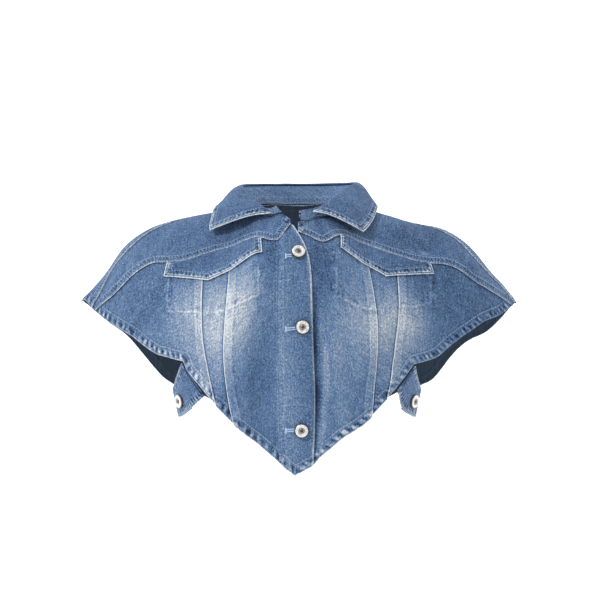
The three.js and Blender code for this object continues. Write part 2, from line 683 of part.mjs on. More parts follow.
function addBack() {
  const right = shoulderStops('right');
  const left = shoulderStops('left');
  const [neckRight, neckLeft] = ends(BACK_NECK);
  const vee = (from, to) => (share) => {
    const x = mix(from, to, share);
    return on(x < 0 ? BACK_HEM.right.vee : BACK_HEM.left.vee, x);
  };
  const total = BACK_NECK_CELLS + right.collar.cells + left.collar.cells;
  const cellWidth = 2 * BACK_SEAM_BOTTOM / total;
  const neckStop = BACK_SEAM_BOTTOM - cellWidth;
  const centre = stationsOf([
    reversed([right.collar.cells, onBackYoke(right.collar), vee(-neckStop, -BACK_SEAM_BOTTOM)]),
    [BACK_NECK_CELLS, stretch(BACK_YOKE, neckRight, neckLeft), vee(-neckStop, neckStop)],
    [left.collar.cells, onBackYoke(left.collar), vee(neckStop, BACK_SEAM_BOTTOM)],
  ]);
  addPanel('back_centre', panelPlaces(centre, ROWS.back));
  addBackSide('right');
  addBackSide('left');

  const wingStretches = (side) => Object.values(shoulderStops(side)).map((stop) => [
    stop.cells, stretch(SHOULDER[side], stop.from, stop.to), onBackYoke(stop),
  ]);
  const yoke = stationsOf([
    ...wingStretches('right').reverse().map(reversed),
    [BACK_NECK_CELLS, stretch(BACK_NECK, neckRight, neckLeft), stretch(BACK_YOKE, neckRight, neckLeft)],
    ...wingStretches('left'),
  ]);
  const ridgeWay = (shoulder, back) => shoulder.s / (shoulder.s - back.s);
  const point = (swing, ridge) => (way) => swing * Math.min(way / ridge, (1 - way) / (1 - ridge));
  const [backRight, backLeft] = [BACK_YOKE[0], BACK_YOKE[BACK_YOKE.length - 1]];
  const bow = {
    start: point(-TIP_SWING.right, ridgeWay(SHOULDER.right[SHOULDER.right.length - 1], backRight)),
    end: point(TIP_SWING.left, ridgeWay(SHOULDER.left[SHOULDER.left.length - 1], backLeft)),
  };
  addPanel('back_yoke', panelPlaces(yoke, ROWS.backYoke, bow));
}

addBack();

// Placket and button stand

// Shares across the placket at which its columns stand; the third one meets the point of the hem
const PLACKET_COLUMNS = [0, 0.25, 0.46, 0.72, 1];
const POINT_COLUMN = 2;
// How sharply the columns and rows turn into the pointed hem
const POINT_BLEND = 6;
const STAND_COLUMNS_ACROSS = 5;
// Where the hidden edge of the button stand starts at the yoke, and how soon it reaches its full width
const STAND_TOP_X = 4;
const STAND_WIDENS = 0.2;

function placketPlaces() {
  const [topX, seamBottom] = ends(PLACKET_SEAM);
  const edgeEnd = PLACKET_EDGE[PLACKET_EDGE.length - 1];
  const hem = HEM.right.vee;
  const point = hem[hem.length - 1];
  const corner = on(hem, seamBottom - PLACKET_LAP);
  const start = { s: PLACKET_SEAM[0].s, x: topX };
  const last = PLACKET_COLUMNS.length - 1;
  return PLACKET_COLUMNS.map((share, i) => {
    const onHem = i <= POINT_COLUMN
      ? on(hem, mix(corner.x, point.x, i / POINT_COLUMN))
      : on(HEM.left.vee, mix(point.x, edgeEnd.x, (i - POINT_COLUMN) / (last - POINT_COLUMN)));
    const column = [];
    for (let j = 0; j <= ROWS.placket; j += 1) {
      const way = j / ROWS.placket;
      const blend = way ** POINT_BLEND;
      const seamS = mix(start.s, corner.s, way);
      const edgeS = mix(PLACKET_EDGE[0].s, edgeEnd.s, way);
      const seamX = read(PLACKET_SEAM, 's', seamS, 'x') - PLACKET_LAP;
      const edgeX = read(PLACKET_EDGE, 's', edgeS, 'x');
      column.push({
        x: mix(seamX, edgeX, share) + blend * (onHem.x - mix(corner.x, edgeEnd.x, share)),
        s: mix(seamS, edgeS, share) + blend * (onHem.s - mix(corner.s, edgeEnd.s, share)),
      });
    }
    return column;
  });
}

function buttonStandPlaces() {
  const [seamTop, seamBottom] = ends(STAND_SEAM);
  const top = on(YOKE.left, seamTop);
  const bottom = on(HEM.left.vee, seamBottom);
  const hiddenTop = on(YOKE.left, STAND_TOP_X);
  const hiddenBottom = read(HEM.right.vee, 'x', STAND_REACH, 's') - STAND_SHORT;
  const places = [];
  for (let i = 0; i <= STAND_COLUMNS_ACROSS; i += 1) {
    const share = i / STAND_COLUMNS_ACROSS;
    const footX = mix(STAND_REACH, bottom.x, share);
    const short = STAND_SHORT * smoothStep(STAND_SHORTENS.from, STAND_SHORTENS.to, footX);
    const toHem = footX > 0 ? read(HEM.left.vee, 'x', footX, 's') - short - mix(hiddenBottom, bottom.s, share) : 0;
    const column = [];
    for (let j = 0; j <= ROWS.front; j += 1) {
      const way = j / ROWS.front;
      const seamS = mix(top.s, bottom.s, way);
      const hiddenX = mix(STAND_TOP_X, STAND_REACH, smoothStep(0, STAND_WIDENS, way));
      const hiddenS = mix(hiddenTop.s, hiddenBottom, way);
      column.push({
        x: mix(hiddenX, read(STAND_SEAM, 's', seamS, 'x'), share),
        s: mix(hiddenS, seamS, share) + way ** POINT_BLEND * toHem,
      });
    }
    places.push(column);
  }
  return places;
}

addUpperPiece('front_placket', placketPlaces());
addPanel('button_stand', buttonStandPlaces());

// Pocket flaps

function addFlap(side) {
  const { from, to, corners, lift } = FLAP[side];
  const yoke = YOKE[side];
  const upper = (a, b) => (share) => {
    const x = mix(a, b, share);
    return { x, s: read(yoke, 'x', x, 's') + FLAP_DROP };
  };
  const lower = (a, b, raised = 0) => (share) => ({
    x: mix(a.x, b.x, share), s: mix(a.s, b.s, share) - raised * Math.sin(Math.PI * share),
  });
  const [inner, point, outer] = corners;
  const middle = mix(from, to, (point.x - inner.x) / (outer.x - inner.x));
  const stations = stationsOf([
    [FLAP_CELLS, upper(from, middle), lower(inner, point, lift)],
    [FLAP_CELLS, upper(middle, to), lower(point, outer)],
  ]);
  addUpperPiece(`pocket_flap_${side}`, panelPlaces(stations, ROWS.flap));
}

addFlap('right');
addFlap('left');

// Ribbons between two curves in space

const point3 = (row) => new THREE.Vector3(row.x, row.y, row.z);
const curveThrough = (rows) => new THREE.CatmullRomCurve3(rows.map(point3), false, 'centripetal');

// A grid of points with normals worked out from its neighbours
function gridWithNormals(points) {
  const lastColumn = points.length - 1;
  const lastRow = points[0].length - 1;
  return points.map((column, i) => column.map((point, j) => {
    const across = points[Math.min(lastColumn, i + 1)][j].clone().sub(points[Math.max(0, i - 1)][j]);
    const up = column[Math.max(0, j - 1)].clone().sub(column[Math.min(lastRow, j + 1)]);
    return { point, normal: across.cross(up).normalize() };
  }));
}

// Collar

const COLLAR_COLUMNS = 34;
const STAND_COLUMNS = 26;
const STAND_ROWS = 3;

// The level direction square to the roll line, away from the neck
function awayFromNeck(roll, share) {
  const tangent = roll.getTangent(share);
  return new THREE.Vector3(-tangent.y, tangent.x, 0).normalize();
}

function addCollarLeaf() {
  const roll = curveThrough(ROLL);
  const edge = curveThrough(LEAF_EDGE);
  const points = [];
  for (let i = 0; i <= COLLAR_COLUMNS; i += 1) {
    const share = i / COLLAR_COLUMNS;
    const inner = roll.getPoint(share);
    const outer = edge.getPoint(share);
    const away = awayFromNeck(roll, share);
    points.push(LEAF_PROFILE.map((row) => inner.clone().lerp(outer, row.share)
      .addScaledVector(away, row.out).add(new THREE.Vector3(0, 0, row.up))));
  }
  const wall = wallGeometry(gridWithNormals(points), -COLLAR_CLOTH / 2, COLLAR_CLOTH / 2);
  addPiece('collar_leaf', wall, DENIM);
}

// The neck seam, raised by the height of the stand's foot over the cloth
function neckSeam() {
  const { right, left } = STAND_END;
  const places = [
    right.foot,
    ...NECK.right.filter((row) => row.x < right.foot.x - STAND_END_ROOM),
    ...BACK_NECK.slice(1, -1),
    ...NECK.left.filter((row) => row.x > left.foot.x + STAND_END_ROOM).reverse(),
    left.foot,
  ];
  const raised = new THREE.Vector3(0, 0, STAND_FOOT);
  const points = places.map((place) => foldedCloth(place.x, place.s).add(raised));
  return new THREE.CatmullRomCurve3(points, false, 'centripetal');
}

function addCollarStand() {
  const foot = neckSeam();
  const roll = curveThrough(ROLL);
  const points = [];
  for (let i = 0; i <= STAND_COLUMNS; i += 1) {
    const share = i / STAND_COLUMNS;
    const low = foot.getPoint(share);
    const onRoll = mix(STAND_REACH_IN, 1 - STAND_REACH_IN, share);
    const toEnd = Math.max(1 - share / STAND_END_SHARE, 1 - (1 - share) / STAND_END_SHARE, 0);
    const nearEnd = smoothStep(STAND_EASE_SHARE, 0, Math.min(share, 1 - share));
    const inwards = mix(STAND_TOP_IN.back, STAND_TOP_IN.front, nearEnd);
    const high = roll.getPoint(onRoll).addScaledVector(awayFromNeck(roll, onRoll), -inwards);
    high.z -= STAND_TOP_DROP;
    const end = share < 0.5 ? STAND_END.right.top : STAND_END.left.top;
    high.lerp(point3(end), smoothStep(0, 1, toEnd));
    const column = [];
    for (let j = 0; j <= STAND_ROWS; j += 1) column.push(high.clone().lerp(low, j / STAND_ROWS));
    points.push(column);
  }
  const wall = wallGeometry(gridWithNormals(points), -DOUBLE_CLOTH / 2, DOUBLE_CLOTH / 2);
  addPiece('collar_stand', wall, DENIM);
}

addCollarLeaf();
addCollarStand();

// Side tabs

const TAB_COLUMNS = 9;
const TAB_ROWS = 2;

function mirrored(row, sign) {
  return { x: row.x * sign, y: row.y, z: row.z };
}

// The two edges of the tabs on one side, from the front's side edge to the back's side edge
function tabEdges(side) {
  const sign = side === 'right' ? -1 : 1;
  const front = HEM[side].side;
  const back = BACK_HEM[side].side;
  const upperRows = TAB_UPPER.map((row) => mirrored(row, sign));
  const lowerRows = TAB_LOWER.map((row) => mirrored(row, sign));
  const place = (row) => foldedCloth(row.x, row.s);
  const edge = (start, rows, end) => curveThrough([start, ...rows, end]);
  return {
    upper: edge(place(front[0]), upperRows, place(back[0])),
    lower: edge(place(front[front.length - 1]), lowerRows, place(back[back.length - 1])),
  };
}

// A stretch of the tab between two shares of its length, as a grid running towards +x round the outside
function tabGrid(side, from, to) {
  const { upper, lower } = tabEdges(side);
  const points = [];
  for (let i = 0; i <= TAB_COLUMNS; i += 1) {
    const share = mix(from, to, i / TAB_COLUMNS);
    const high = upper.getPoint(share);
    const low = lower.getPoint(share);
    const column = [];
    for (let j = 0; j <= TAB_ROWS; j += 1) column.push(high.clone().lerp(low, j / TAB_ROWS));
    points.push(column);
  }
  return gridWithNormals(side === 'right' ? points.reverse() : points);
}

function addTabs(side) {
  const thick = DOUBLE_CLOTH;
  const front = wallGeometry(tabGrid(side, FRONT_TAB_ROOT, FRONT_TAB_END), 0, thick);
  addPiece(`front_tab_${side}`, front, DENIM);
  const back = wallGeometry(tabGrid(side, BACK_TAB_START, BACK_TAB_ROOT), -LAYER_GAP - thick, -LAYER_GAP);
  addPiece(`back_tab_${side}`, back, DENIM);
}

addTabs('right');
addTabs('left');

// Buttons

function buttonGeometry() {
  const { head, ring, recess, post, rise, rim, height, sunk, lip, lipRise, recessSlope, recessDip, sides } = BUTTON;
  const profile = [
    [0, 0], [post, 0], [post, rise], [head - lip, rise], [head, rise + lipRise], [head, rim],
    [ring, height], [recess, height - recessDip], [recess - recessSlope, height - sunk], [0, height - sunk],
  ].map(([radius, up]) => new THREE.Vector2(radius, up));
  return new THREE.LatheGeometry(profile, sides);
}

// Stands a button on a place with its axis along the normal.
function addButton(name, foot, normal) {
  const button = addPiece(name, buttonGeometry(), STEEL);
  button.quaternion.setFromUnitVectors(new THREE.Vector3(0, 1, 0), normal);
  button.position.copy(foot).addScaledVector(normal, BUTTON_SEAT);
}

PLACKET_BUTTONS.forEach((place, i) => {
  const { point, normal } = cloth(place);
  addButton(`placket_button_${i + 1}`, point.addScaledVector(normal, UPPER_LAYER + DOUBLE_CLOTH), normal);
});

for (const side of ['right', 'left']) {
  const { upper, lower } = tabEdges(side);
  const at = (along) => upper.getPoint(along).lerp(lower.getPoint(along), TAB_BUTTON.down);
  const along = at(TAB_BUTTON.along + TAB_BUTTON.step).sub(at(TAB_BUTTON.along - TAB_BUTTON.step));
  const down = lower.getPoint(TAB_BUTTON.along).sub(upper.getPoint(TAB_BUTTON.along));
  const normal = along.cross(down).normalize();
  if (normal.y > 0) normal.negate();
  const foot = at(TAB_BUTTON.along).addScaledVector(normal, DOUBLE_CLOTH + TAB_BUTTON_LIFT);
  addButton(`tab_button_${side}`, foot, normal);
}

export default vest;
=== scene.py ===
"""Cropped denim vest, worn and hollow: cloth, sewing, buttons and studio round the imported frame.

Cloth sizes are millimetres; objects are metres. +Z is up, the front faces -Y, +X is the wearer's left.
"""
import math

import bmesh
import bpy
import numpy as np
from bpy.props import FloatProperty, FloatVectorProperty, PointerProperty
from mathutils import Matrix, Vector, noise


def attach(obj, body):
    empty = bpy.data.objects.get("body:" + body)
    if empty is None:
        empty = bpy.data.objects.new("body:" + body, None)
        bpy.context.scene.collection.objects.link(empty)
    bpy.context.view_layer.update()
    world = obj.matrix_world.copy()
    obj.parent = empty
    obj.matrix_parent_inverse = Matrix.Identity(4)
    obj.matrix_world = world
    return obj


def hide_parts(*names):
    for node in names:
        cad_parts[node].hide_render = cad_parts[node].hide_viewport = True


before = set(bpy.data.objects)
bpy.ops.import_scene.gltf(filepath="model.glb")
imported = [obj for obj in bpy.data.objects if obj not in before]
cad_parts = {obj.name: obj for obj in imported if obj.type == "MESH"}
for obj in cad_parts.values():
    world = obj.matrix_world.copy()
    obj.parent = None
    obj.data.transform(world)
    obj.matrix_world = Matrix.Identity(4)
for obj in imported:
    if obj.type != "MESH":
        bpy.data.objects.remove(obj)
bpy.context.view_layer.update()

bl_info = {
    "name": "Cropped denim vest",
    "version": (1, 0, 0),
    "blender": (4, 5, 0),
    "location": "3D View > Sidebar > Vest",
    "description": "Builds the cloth, sewing, buttons and studio of a worn denim vest",
    "category": "Add Mesh",
}

MM = 0.001
SIDES = ("right", "left")

# Thickness of the cloth and height of its outer face over the middle of the panels
PANEL_CLOTH = 1.2
PANEL_FACE = 0.8
DOUBLE_CLOTH = 2.0
UPPER_FACE = 3.5
LEAF_CLOTH = 2.2
TAB_LAYER_GAP = 0.7

# Fineness of the cloth grids
CELL = 1.75
EDGE_STEPS = (0.45, 1.2)
LINE_POINTS = 110

# Seams: how far an upper edge laps over its neighbour, how wide its allowance stands proud
LAP = 1.3
ALLOWANCE = 9.0
TUCK_WIDTH = 10.0
HEM_WIDTH = 10.5
WING_HEM_PERIOD = {"right": 7.8, "left": 6.2}
VEE_HEM_PERIOD = 11.0
SEAM_PERIOD = 4.2
TAB_HEM_PERIOD = 4.6
FAR = 60.0

# Distance from the centre line over which the roping of the pointed hem turns into that of the wing
WING_ROPING = (105, 140)
# Rows of {kind of edge, full height within, none beyond, height}: turnings that stand proud
RAISED = (("over", ALLOWANCE - 1, ALLOWANCE + 1.5, 0.75), ("tuck", TUCK_WIDTH - 2, TUCK_WIDTH + 3, 0.6))
HEM_RAISED = {"panel": 0.5, "double": 0.25}
HEM_EASE = 2
# Rows of {kind of edge, reach, depth}: edges that round off
ROUNDED = (
    ("hem", 1.2, 0.5), ("over", 1.2, 0.35), ("tuck", 1.0, 0.3), ("crisp", 1.0, 0.3), ("under", 3.2, 0.62),
)
# Waves of roping over the turnings
HEM_ROPING = {"slant": 0.35, "distance": 4.2, "width": 3.0, "height": 0.3}
SEAM_ROPING = {"slant": 0.3, "distance": 5.5, "width": 2.5, "height": 0.12}
POCKET_RISE = {"width": 1.6, "height": 0.35}

# Rows of {x, height} of the shoulder ridge
RIDGE = (
    (0, 50), (25, 46), (45, 35), (62, 19), (75, 9), (95, 2.5), (120, -3), (150, -10), (175, -19),
    (200, -36.5), (225, -66), (245, -90), (258, -107.5),
)
# Rows of {x, slope, bend, turn, hang, fall}: the cloth bends to a slope within the first bend
# and turns to its final fall between turn and hang. Angles in degrees.
FRONT_FALL = (
    (0, 42, 5, 60, 235, 92), (25, 42, 5, 62, 232, 92), (45, 43, 7, 72, 226, 93),
    (62, 45, 10, 86, 220, 93), (75, 47, 12, 95, 216, 93), (95, 50, 15, 95, 205, 93),
    (120, 53, 18, 82, 178, 92), (150, 56, 21, 58, 138, 91), (175, 55, 22, 42, 108, 90),
    (200, 50, 20, 28, 84, 88), (225, 47, 15, 14, 56, 85), (245, 47, 9, 6, 30, 82),
    (258, 47, 7, 4, 24, 80),
)
BACK_FALL = (
    (0, 41, 5, 50, 170, 90), (45, 40, 7, 50, 162, 90), (62, 40, 9, 50, 156, 90),
    (75, 40, 11, 50, 152, 91), (95, 42, 13, 47, 146, 91), (120, 46, 16, 42, 136, 91),
    (150, 50, 20, 38, 120, 91), (175, 52, 22, 34, 104, 90), (200, 50, 20, 28, 84, 88),
    (225, 47, 15, 14, 56, 85), (245, 47, 9, 6, 30, 82), (258, 47, 7, 4, 24, 80),
)
FALL_STEPS = 60
NORMAL_STEP = 1.5

# Rows of {x, s, lean, length, width, rise}: the largest folds, then the smaller creases
FOLDS = (
    (136, 0, 0, 70, 32, -4.4), (-232, 0, 0, 60, 22, -3.8), (25, 255, 0, 95, 9, -3.2),
    (44, 250, 1, 80, 13, 3.0), (-38, 290, -3, 55, 11, -3.0), (-56, 250, -4, 60, 12, 2.6),
    (-96, 215, 28, 45, 11, -2.6), (100, 205, -24, 45, 11, -2.6), (-172, 118, -38, 34, 10, -2.6),
    (172, 112, 38, 34, 10, -2.6), (60, 320, -30, 34, 9, 2.0), (-60, -235, 12, 70, 13, -3.0),
    (48, -250, -9, 76, 14, -3.2), (2, -215, 3, 60, 15, 2.6), (-150, -130, -34, 40, 12, -2.6),
    (152, -124, 33, 42, 12, -2.4),
)
CREASES = (
    (-128, 186, 52, 26, 4.5, 1.5), (-121, 193, 46, 24, 3.5, -1.3), (-140, 176, 60, 22, 4.0, -1.2),
    (-108, 222, 30, 22, 3.6, 1.3), (-101, 228, 27, 20, 3.2, -1.1), (130, 186, -50, 26, 4.5, 1.5),
    (122, 194, -44, 24, 3.6, -1.3), (142, 172, -58, 22, 4.2, -1.2), (113, 216, -32, 20, 3.6, 1.2),
    (-62, 232, -3, 40, 5.5, 0.9), (-48, 262, -8, 34, 5.0, -1.0), (-86, 300, 24, 20, 4.5, 0.9),
    (58, 236, 4, 42, 5.5, -1.0), (50, 290, 10, 34, 5.0, 0.9), (72, 268, -6, 30, 5.0, -0.8),
    (-34, 150, 4, 30, 5.0, -0.9), (36, 150, -3, 34, 5.0, -1.2), (44, 138, -7, 24, 4.0, 1.0),
    (-12, 92, 16, 14, 3.6, -1.0), (-24, 96, -10, 18, 4.0, 1.0), (-36, 92, -26, 18, 4.4, -1.0),
    (16, 100, -12, 16, 3.6, 1.0), (28, 102, 12, 16, 4.0, -1.1), (38, 96, 24, 18, 4.2, 1.0),
    (-60, 66, -30, 22, 6.0, -0.9), (58, 62, 30, 22, 6.0, -0.9), (-90, 40, -62, 26, 7.0, 0.8),
    (-120, 44, -70, 30, 7.0, -0.8), (112, 42, 66, 30, 7.0, -0.9), (-186, 76, -36, 26, 6.5, 1.0),
    (-200, 58, -40, 24, 5.5, -1.0), (-158, 96, -30, 26, 7.0, 0.9), (190, 74, 38, 26, 6.5, 1.0),
    (204, 56, 42, 22, 5.5, -1.0), (158, 96, 30, 26, 7.0, 0.8), (-186, 122, -46, 24, 6.0, 1.2),
    (186, 118, 46, 24, 6.0, 1.1), (6, 300, 2, 60, 5.5, -0.8), (12, 180, -2, 44, 5.0, 0.7),
    (2, 262, 1, 36, 5.0, 0.6), (20.5, 310, 0, 70, 4.2, -1.5), (31, 300, 2, 60, 5.0, 0.9),
    (-30, -300, 10, 40, 8.0, 1.2), (26, -296, -8, 44, 8.0, -1.2), (-98, -196, 26, 40, 8.0, 1.3),
    (102, -200, -24, 42, 8.0, 1.3), (-118, -214, 34, 30, 6.0, -1.2), (120, -212, -32, 30, 6.0, -1.2),
    (-130, -176, 40, 30, 6.5, -1.1), (132, -174, -42, 30, 6.5, -1.1), (-186, -110, 34, 30, 7.0, 1.2),
    (188, -104, -34, 30, 7.0, 1.2), (-70, -112, -58, 30, 8.0, -1.0), (72, -110, 56, 30, 8.0, -1.0),
    (0, -100, 84, 34, 8.0, -0.9), (16, -330, -10, 22, 6.0, 1.0),
)
RIPPLE = {"across": 21.0, "down": 34.0, "rise": 0.38, "ribbons_from": 500}

# Neckline, shoulder seam and yoke seams: rows of {x, s}, from the front opening outwards
NECK = {
    "right": ((-7, 91), (-16, 79), (-27, 77), (-38, 68), (-50, 48), (-58, 24), (-63.2, -6)),
    "left": ((1, 95), (9, 93), (21, 84), (32, 75), (43, 62), (54, 40), (60, 20), (64.7, -6)),
}
BACK_NECK = ((-63.2, -6), (-50, -37), (-30, -55), (0, -63), (30, -55), (50, -37), (64.7, -6))
SHOULDER = {
    "right": (
        (-63.2, -6), (-100, -4), (-140, 4), (-175, 17), (-197, 26), (-218, 27), (-227, 33), (-238.4, 37.5),
    ),
    "left": (
        (64.7, -6), (100, -5), (140, 2), (180, 16), (205, 25), (228, 17), (240, 10), (252, 9),
    ),
}
YOKE = {
    "right": (
        (-7, 96.5), (-12, 104), (-20, 116.5), (-26, 116.5), (-33, 111.5), (-40, 103.5), (-54, 90),
        (-69, 78), (-95, 73.5), (-127, 77), (-147, 74), (-167, 68.5), (-198, 70.5), (-211, 66),
        (-225, 55), (-235, 47.5),
    ),
    "left": (
        (1, 108.5), (10, 112.5), (21, 116.5), (29, 116.5), (37, 109), (48, 92), (60, 78), (76, 70.5),
        (111, 72.5), (137, 74.5), (154, 72.5), (176, 66.5), (191, 64.5), (203, 61), (227, 39),
        (241, 25), (250.2, 17.4),
    ),
}
BACK_YOKE = (
    (-250, -13), (-225, -46), (-190, -84), (-150, -108), (-100, -128), (-50, -146), (0, -154),
    (50, -146), (100, -128), (150, -108), (190, -84), (226, -46), (253, -12),
)

# Hems: wing, side edge and vee, rows of {x, s}
HEM = {
    "right": {
        "wing": (
            (-235, 48.3), (-224, 74), (-213, 98), (-202, 120), (-189, 141), (-172, 165), (-161, 177),
            (-151, 184), (-141, 191), (-129.6, 198.7),
        ),
        "side": ((-129.6, 198.7), (-125, 211), (-102, 248.4)),
        "vee": (
            (-102, 248.4), (-96, 258), (-81, 280), (-66, 304), (-50, 332), (-33, 357.5), (-15, 379.5),
            (-2, 391),
        ),
    },
    "left": {
        "wing": (
            (250.2, 18), (234, 55), (216.5, 89.6), (202, 120), (190, 140), (176, 160), (163, 178),
            (154, 186), (133.3, 200.4),
        ),
        "side": ((133.3, 200.4), (123, 219), (112.5, 236.3)),
        "vee": (
            (112.5, 236.3), (102, 252.5), (84, 279), (58, 318.5), (43, 343.5), (25, 368.5), (17.5, 378),
            (-2, 391),
        ),
    },
}
BACK_HEM = {
    "right": {
        "wing": (
            (-250, -14), (-236, -50), (-222, -84), (-205, -122), (-185, -165), (-163, -204), (-147, -222),
        ),
        "side": ((-147, -222), (-120, -239)),
        "vee": ((-120, -239), (-96, -262), (-60, -301), (-30, -334), (0, -362)),
    },
    "left": {
        "wing": (
            (253, -13), (240, -50), (225, -89), (208, -124), (186, -166), (164, -207), (147, -223),
        ),
        "side": ((147, -223), (120, -240)),
        "vee": ((120, -240), (96, -262), (60, -301), (30, -334), (0, -362)),
    },
}

# Tuck seams: rows of {share of the way from yoke seam to hem, x}
TUCK = {
    "right": {
        "inner": ((0, -74), (0.2, -75.5), (0.4, -78.8), (0.55, -81), (0.7, -80.2), (0.86, -75.5), (1, -69.5)),
        "outer": ((0, -109), (0.2, -108), (0.4, -108), (0.62, -106.5), (0.8, -100.5), (1, -91)),
    },
    "left": {
        "inner": ((0, 75.6), (0.16, 80), (0.34, 85.6), (0.5, 89.2), (0.7, 89), (0.86, 85.5), (1, 83)),
        "outer": ((0, 115.7), (0.2, 115.4), (0.4, 116), (0.65, 112.4), (0.85, 107), (1, 102)),
    },
}
BACK_SEAM_BOTTOM = 46

# Placket and button stand: rows of {s, x}
PLACKET_SEAM = ((116.5, -20), (191, -21), (304, -19.5), (375, -17))
PLACKET_EDGE = (
    (96, -6), (112, 1), (128, 9), (149, 14.5), (192, 16.5), (247, 17.6), (303, 19.5), (345, 19), (376, 18),
)
STAND_SEAM = ((116.5, 21), (190, 24.5), (234, 28.5), (300, 34), (345, 28), (370, 23.5))
STAND_REACH = -13
STAND_SHORT = 3
STAND_SHORTENS = {"from": 18, "to": 11}
PLACKET_LAP = 2.5
PLACKET_COLUMNS = (0, 0.25, 0.46, 0.72, 1)
POINT_COLUMN = 2
POINT_BLEND = 6
STAND_TOP_X = 4
STAND_WIDENS = 0.2
STAND_ACROSS = 44
FRONT_DOWN = 280

# Pocket flaps: top edge under the yoke seam and the three lower corners
FLAP = {
    "right": {"from": -39.5, "to": -147.5, "corners": ((-38.5, 128), (-99.5, 117.5), (-152, 92)), "lift": 6},
    "left": {"from": 48.4, "to": 152, "corners": ((47.3, 114.5), (100.5, 111.5), (156.7, 87)), "lift": 6.8},
}
FLAP_DROP = 1.2
WING_WEAR = {"right": 0.5, "left": 0.27}
FLAP_TUCK = 2.6
FLAP_CELLS = 6

# Stitched outline of the pocket bags behind the panels: rows of {x, s}
POCKET_POINTS = 40
POCKET_LINES = {
    "right": (
        ((-146, 96), (-147.5, 121), (-146.5, 134), (-127, 143), (-109, 151)),
        ((-96, 158), (-64, 166), (-43.5, 176), (-43, 140)),
    ),
    "left": (
        ((153, 90), (152.5, 121), (134, 134), (117, 141)),
        ((92, 156), (66, 167), (44, 176), (44.5, 124)),
    ),
}

# Collar: roll line and outer edge of the leaf, rows of {x, y, z} from the right front to the left front
ROLL = (
    (-31, -64.5, -1), (-40, -56, 6.5), (-48.5, -41, 13.5), (-57, -20, 23), (-65.5, 4, 32), (-64, 30, 36),
    (-40, 52, 38), (0, 60, 38.5), (42, 54, 38.5), (67, 34, 38.5), (70, 8, 36.5), (56.5, -18, 29),
    (46.5, -40, 20), (35, -54, 10.5), (20, -68, 0.5),
)
LEAF_EDGE = (
    (-100, -47, -20.5), (-100.5, -37, -14), (-99, -24, -5), (-97, -10, 5), (-93, 8, 8), (-84, 36, 3),
    (-50, 66, -2), (0, 77, -3), (50, 68, -1), (84, 38, 5), (93.5, 8, 9), (93, -12, 5), (88.5, -30, -6),
    (82, -48, -16), (75.5, -63, -23),
)
# Rows of {out, up, share}: steps over the roll line and share of the way to the outer edge
LEAF_PROFILE = (
    (-2.4, -0.7, 0), (0, 0, 0), (2.6, -0.9, 0), (3.2, 1.6, 0.2), (2.0, 2.6, 0.48), (0.8, 1.6, 0.76),
    (0, 0, 1),
)
STAND_TOP_DROP = 2.9
STAND_TOP_IN = {"back": 1.6, "front": 6.5}
STAND_EASE_SHARE = 0.3
STAND_FOOT = 2.1
STAND_END_SHARE = 0.1
STAND_REACH_IN = 0.01
STAND_END_ROOM = 4
STAND_DOWN = 30
CURVE_SAMPLES = 200
# Shares of the length at which the ends of leaf and stand have closer lines
LEAF_END_LINES = (0.0012, 0.003, 0.997, 0.9988)
STAND_END_LINES = (0.0015, 0.004, 0.996, 0.9985)
STAND_END = {
    "right": {"foot": (-17.5, 78), "top": (-24.5, -59, 8.5)},
    "left": {"foot": (4, 93), "top": (4.5, -67, 2.5)},
}

# Side tabs, left side: rows of {x, y, z} from the front's side edge round to the back's
TAB_UPPER = ((136, -60, -186), (141, -34, -199), (143, -8, -203), (144, 18, -203), (145, 42, -202))
TAB_LOWER = ((118, -78, -222), (130, -50, -232), (136, -14, -236), (138, 16, -235), (132, 45, -227))
FRONT_TAB = (0.012, 0.5)
BACK_TAB = (0.19, 0.988)
TAB_DOWN = 36
TAB_SAMPLES = 60
TAB_BUTTON = {"along": 0.27, "down": 0.6, "lift": 0.3, "step": 0.02, "tilt": 0.28}

# Buttons
PLACKET_BUTTONS = ((1.5, 139.6), (6.4, 223.3), (5.4, 339.6))
BUTTON_SEAT = 0.3
BUTTONHOLE = {
    "reach": 7.4, "end": -12.2, "half": 1.15, "bar": 3.1, "drop": (3.5, 2.0, -0.6), "step": 0.5,
    "side_lift": 0.55, "bar_lift": 0.6, "side_stitch": (1.0, 0.4, 0.4), "bar_stitch": (1.1, 0.4, 0.45),
}

CELLS = {"centre": 5, "middle": 3, "chest": 3, "underArm": 2, "wing": 5, "tip": 3}
YOKE_STOPS = {
    "right": {"chest": -128, "underArm": -150, "wing": -200, "tip": -235},
    "left": {"chest": 132, "underArm": 153, "wing": 205, "tip": 250.2},
}
WING_STOP = {"right": -189, "left": 190}
WING_STOP_EASE = 0.4
SIDE_STOP = 1 / 3
YOKE_FRONT_CELLS = 2
BACK_NECK_CELLS = 8
TIP_SWING = {"right": 6.5, "left": 3.5}
BACK_WING_STOP = 0.66
BACK_VEE_STOP = 0.55

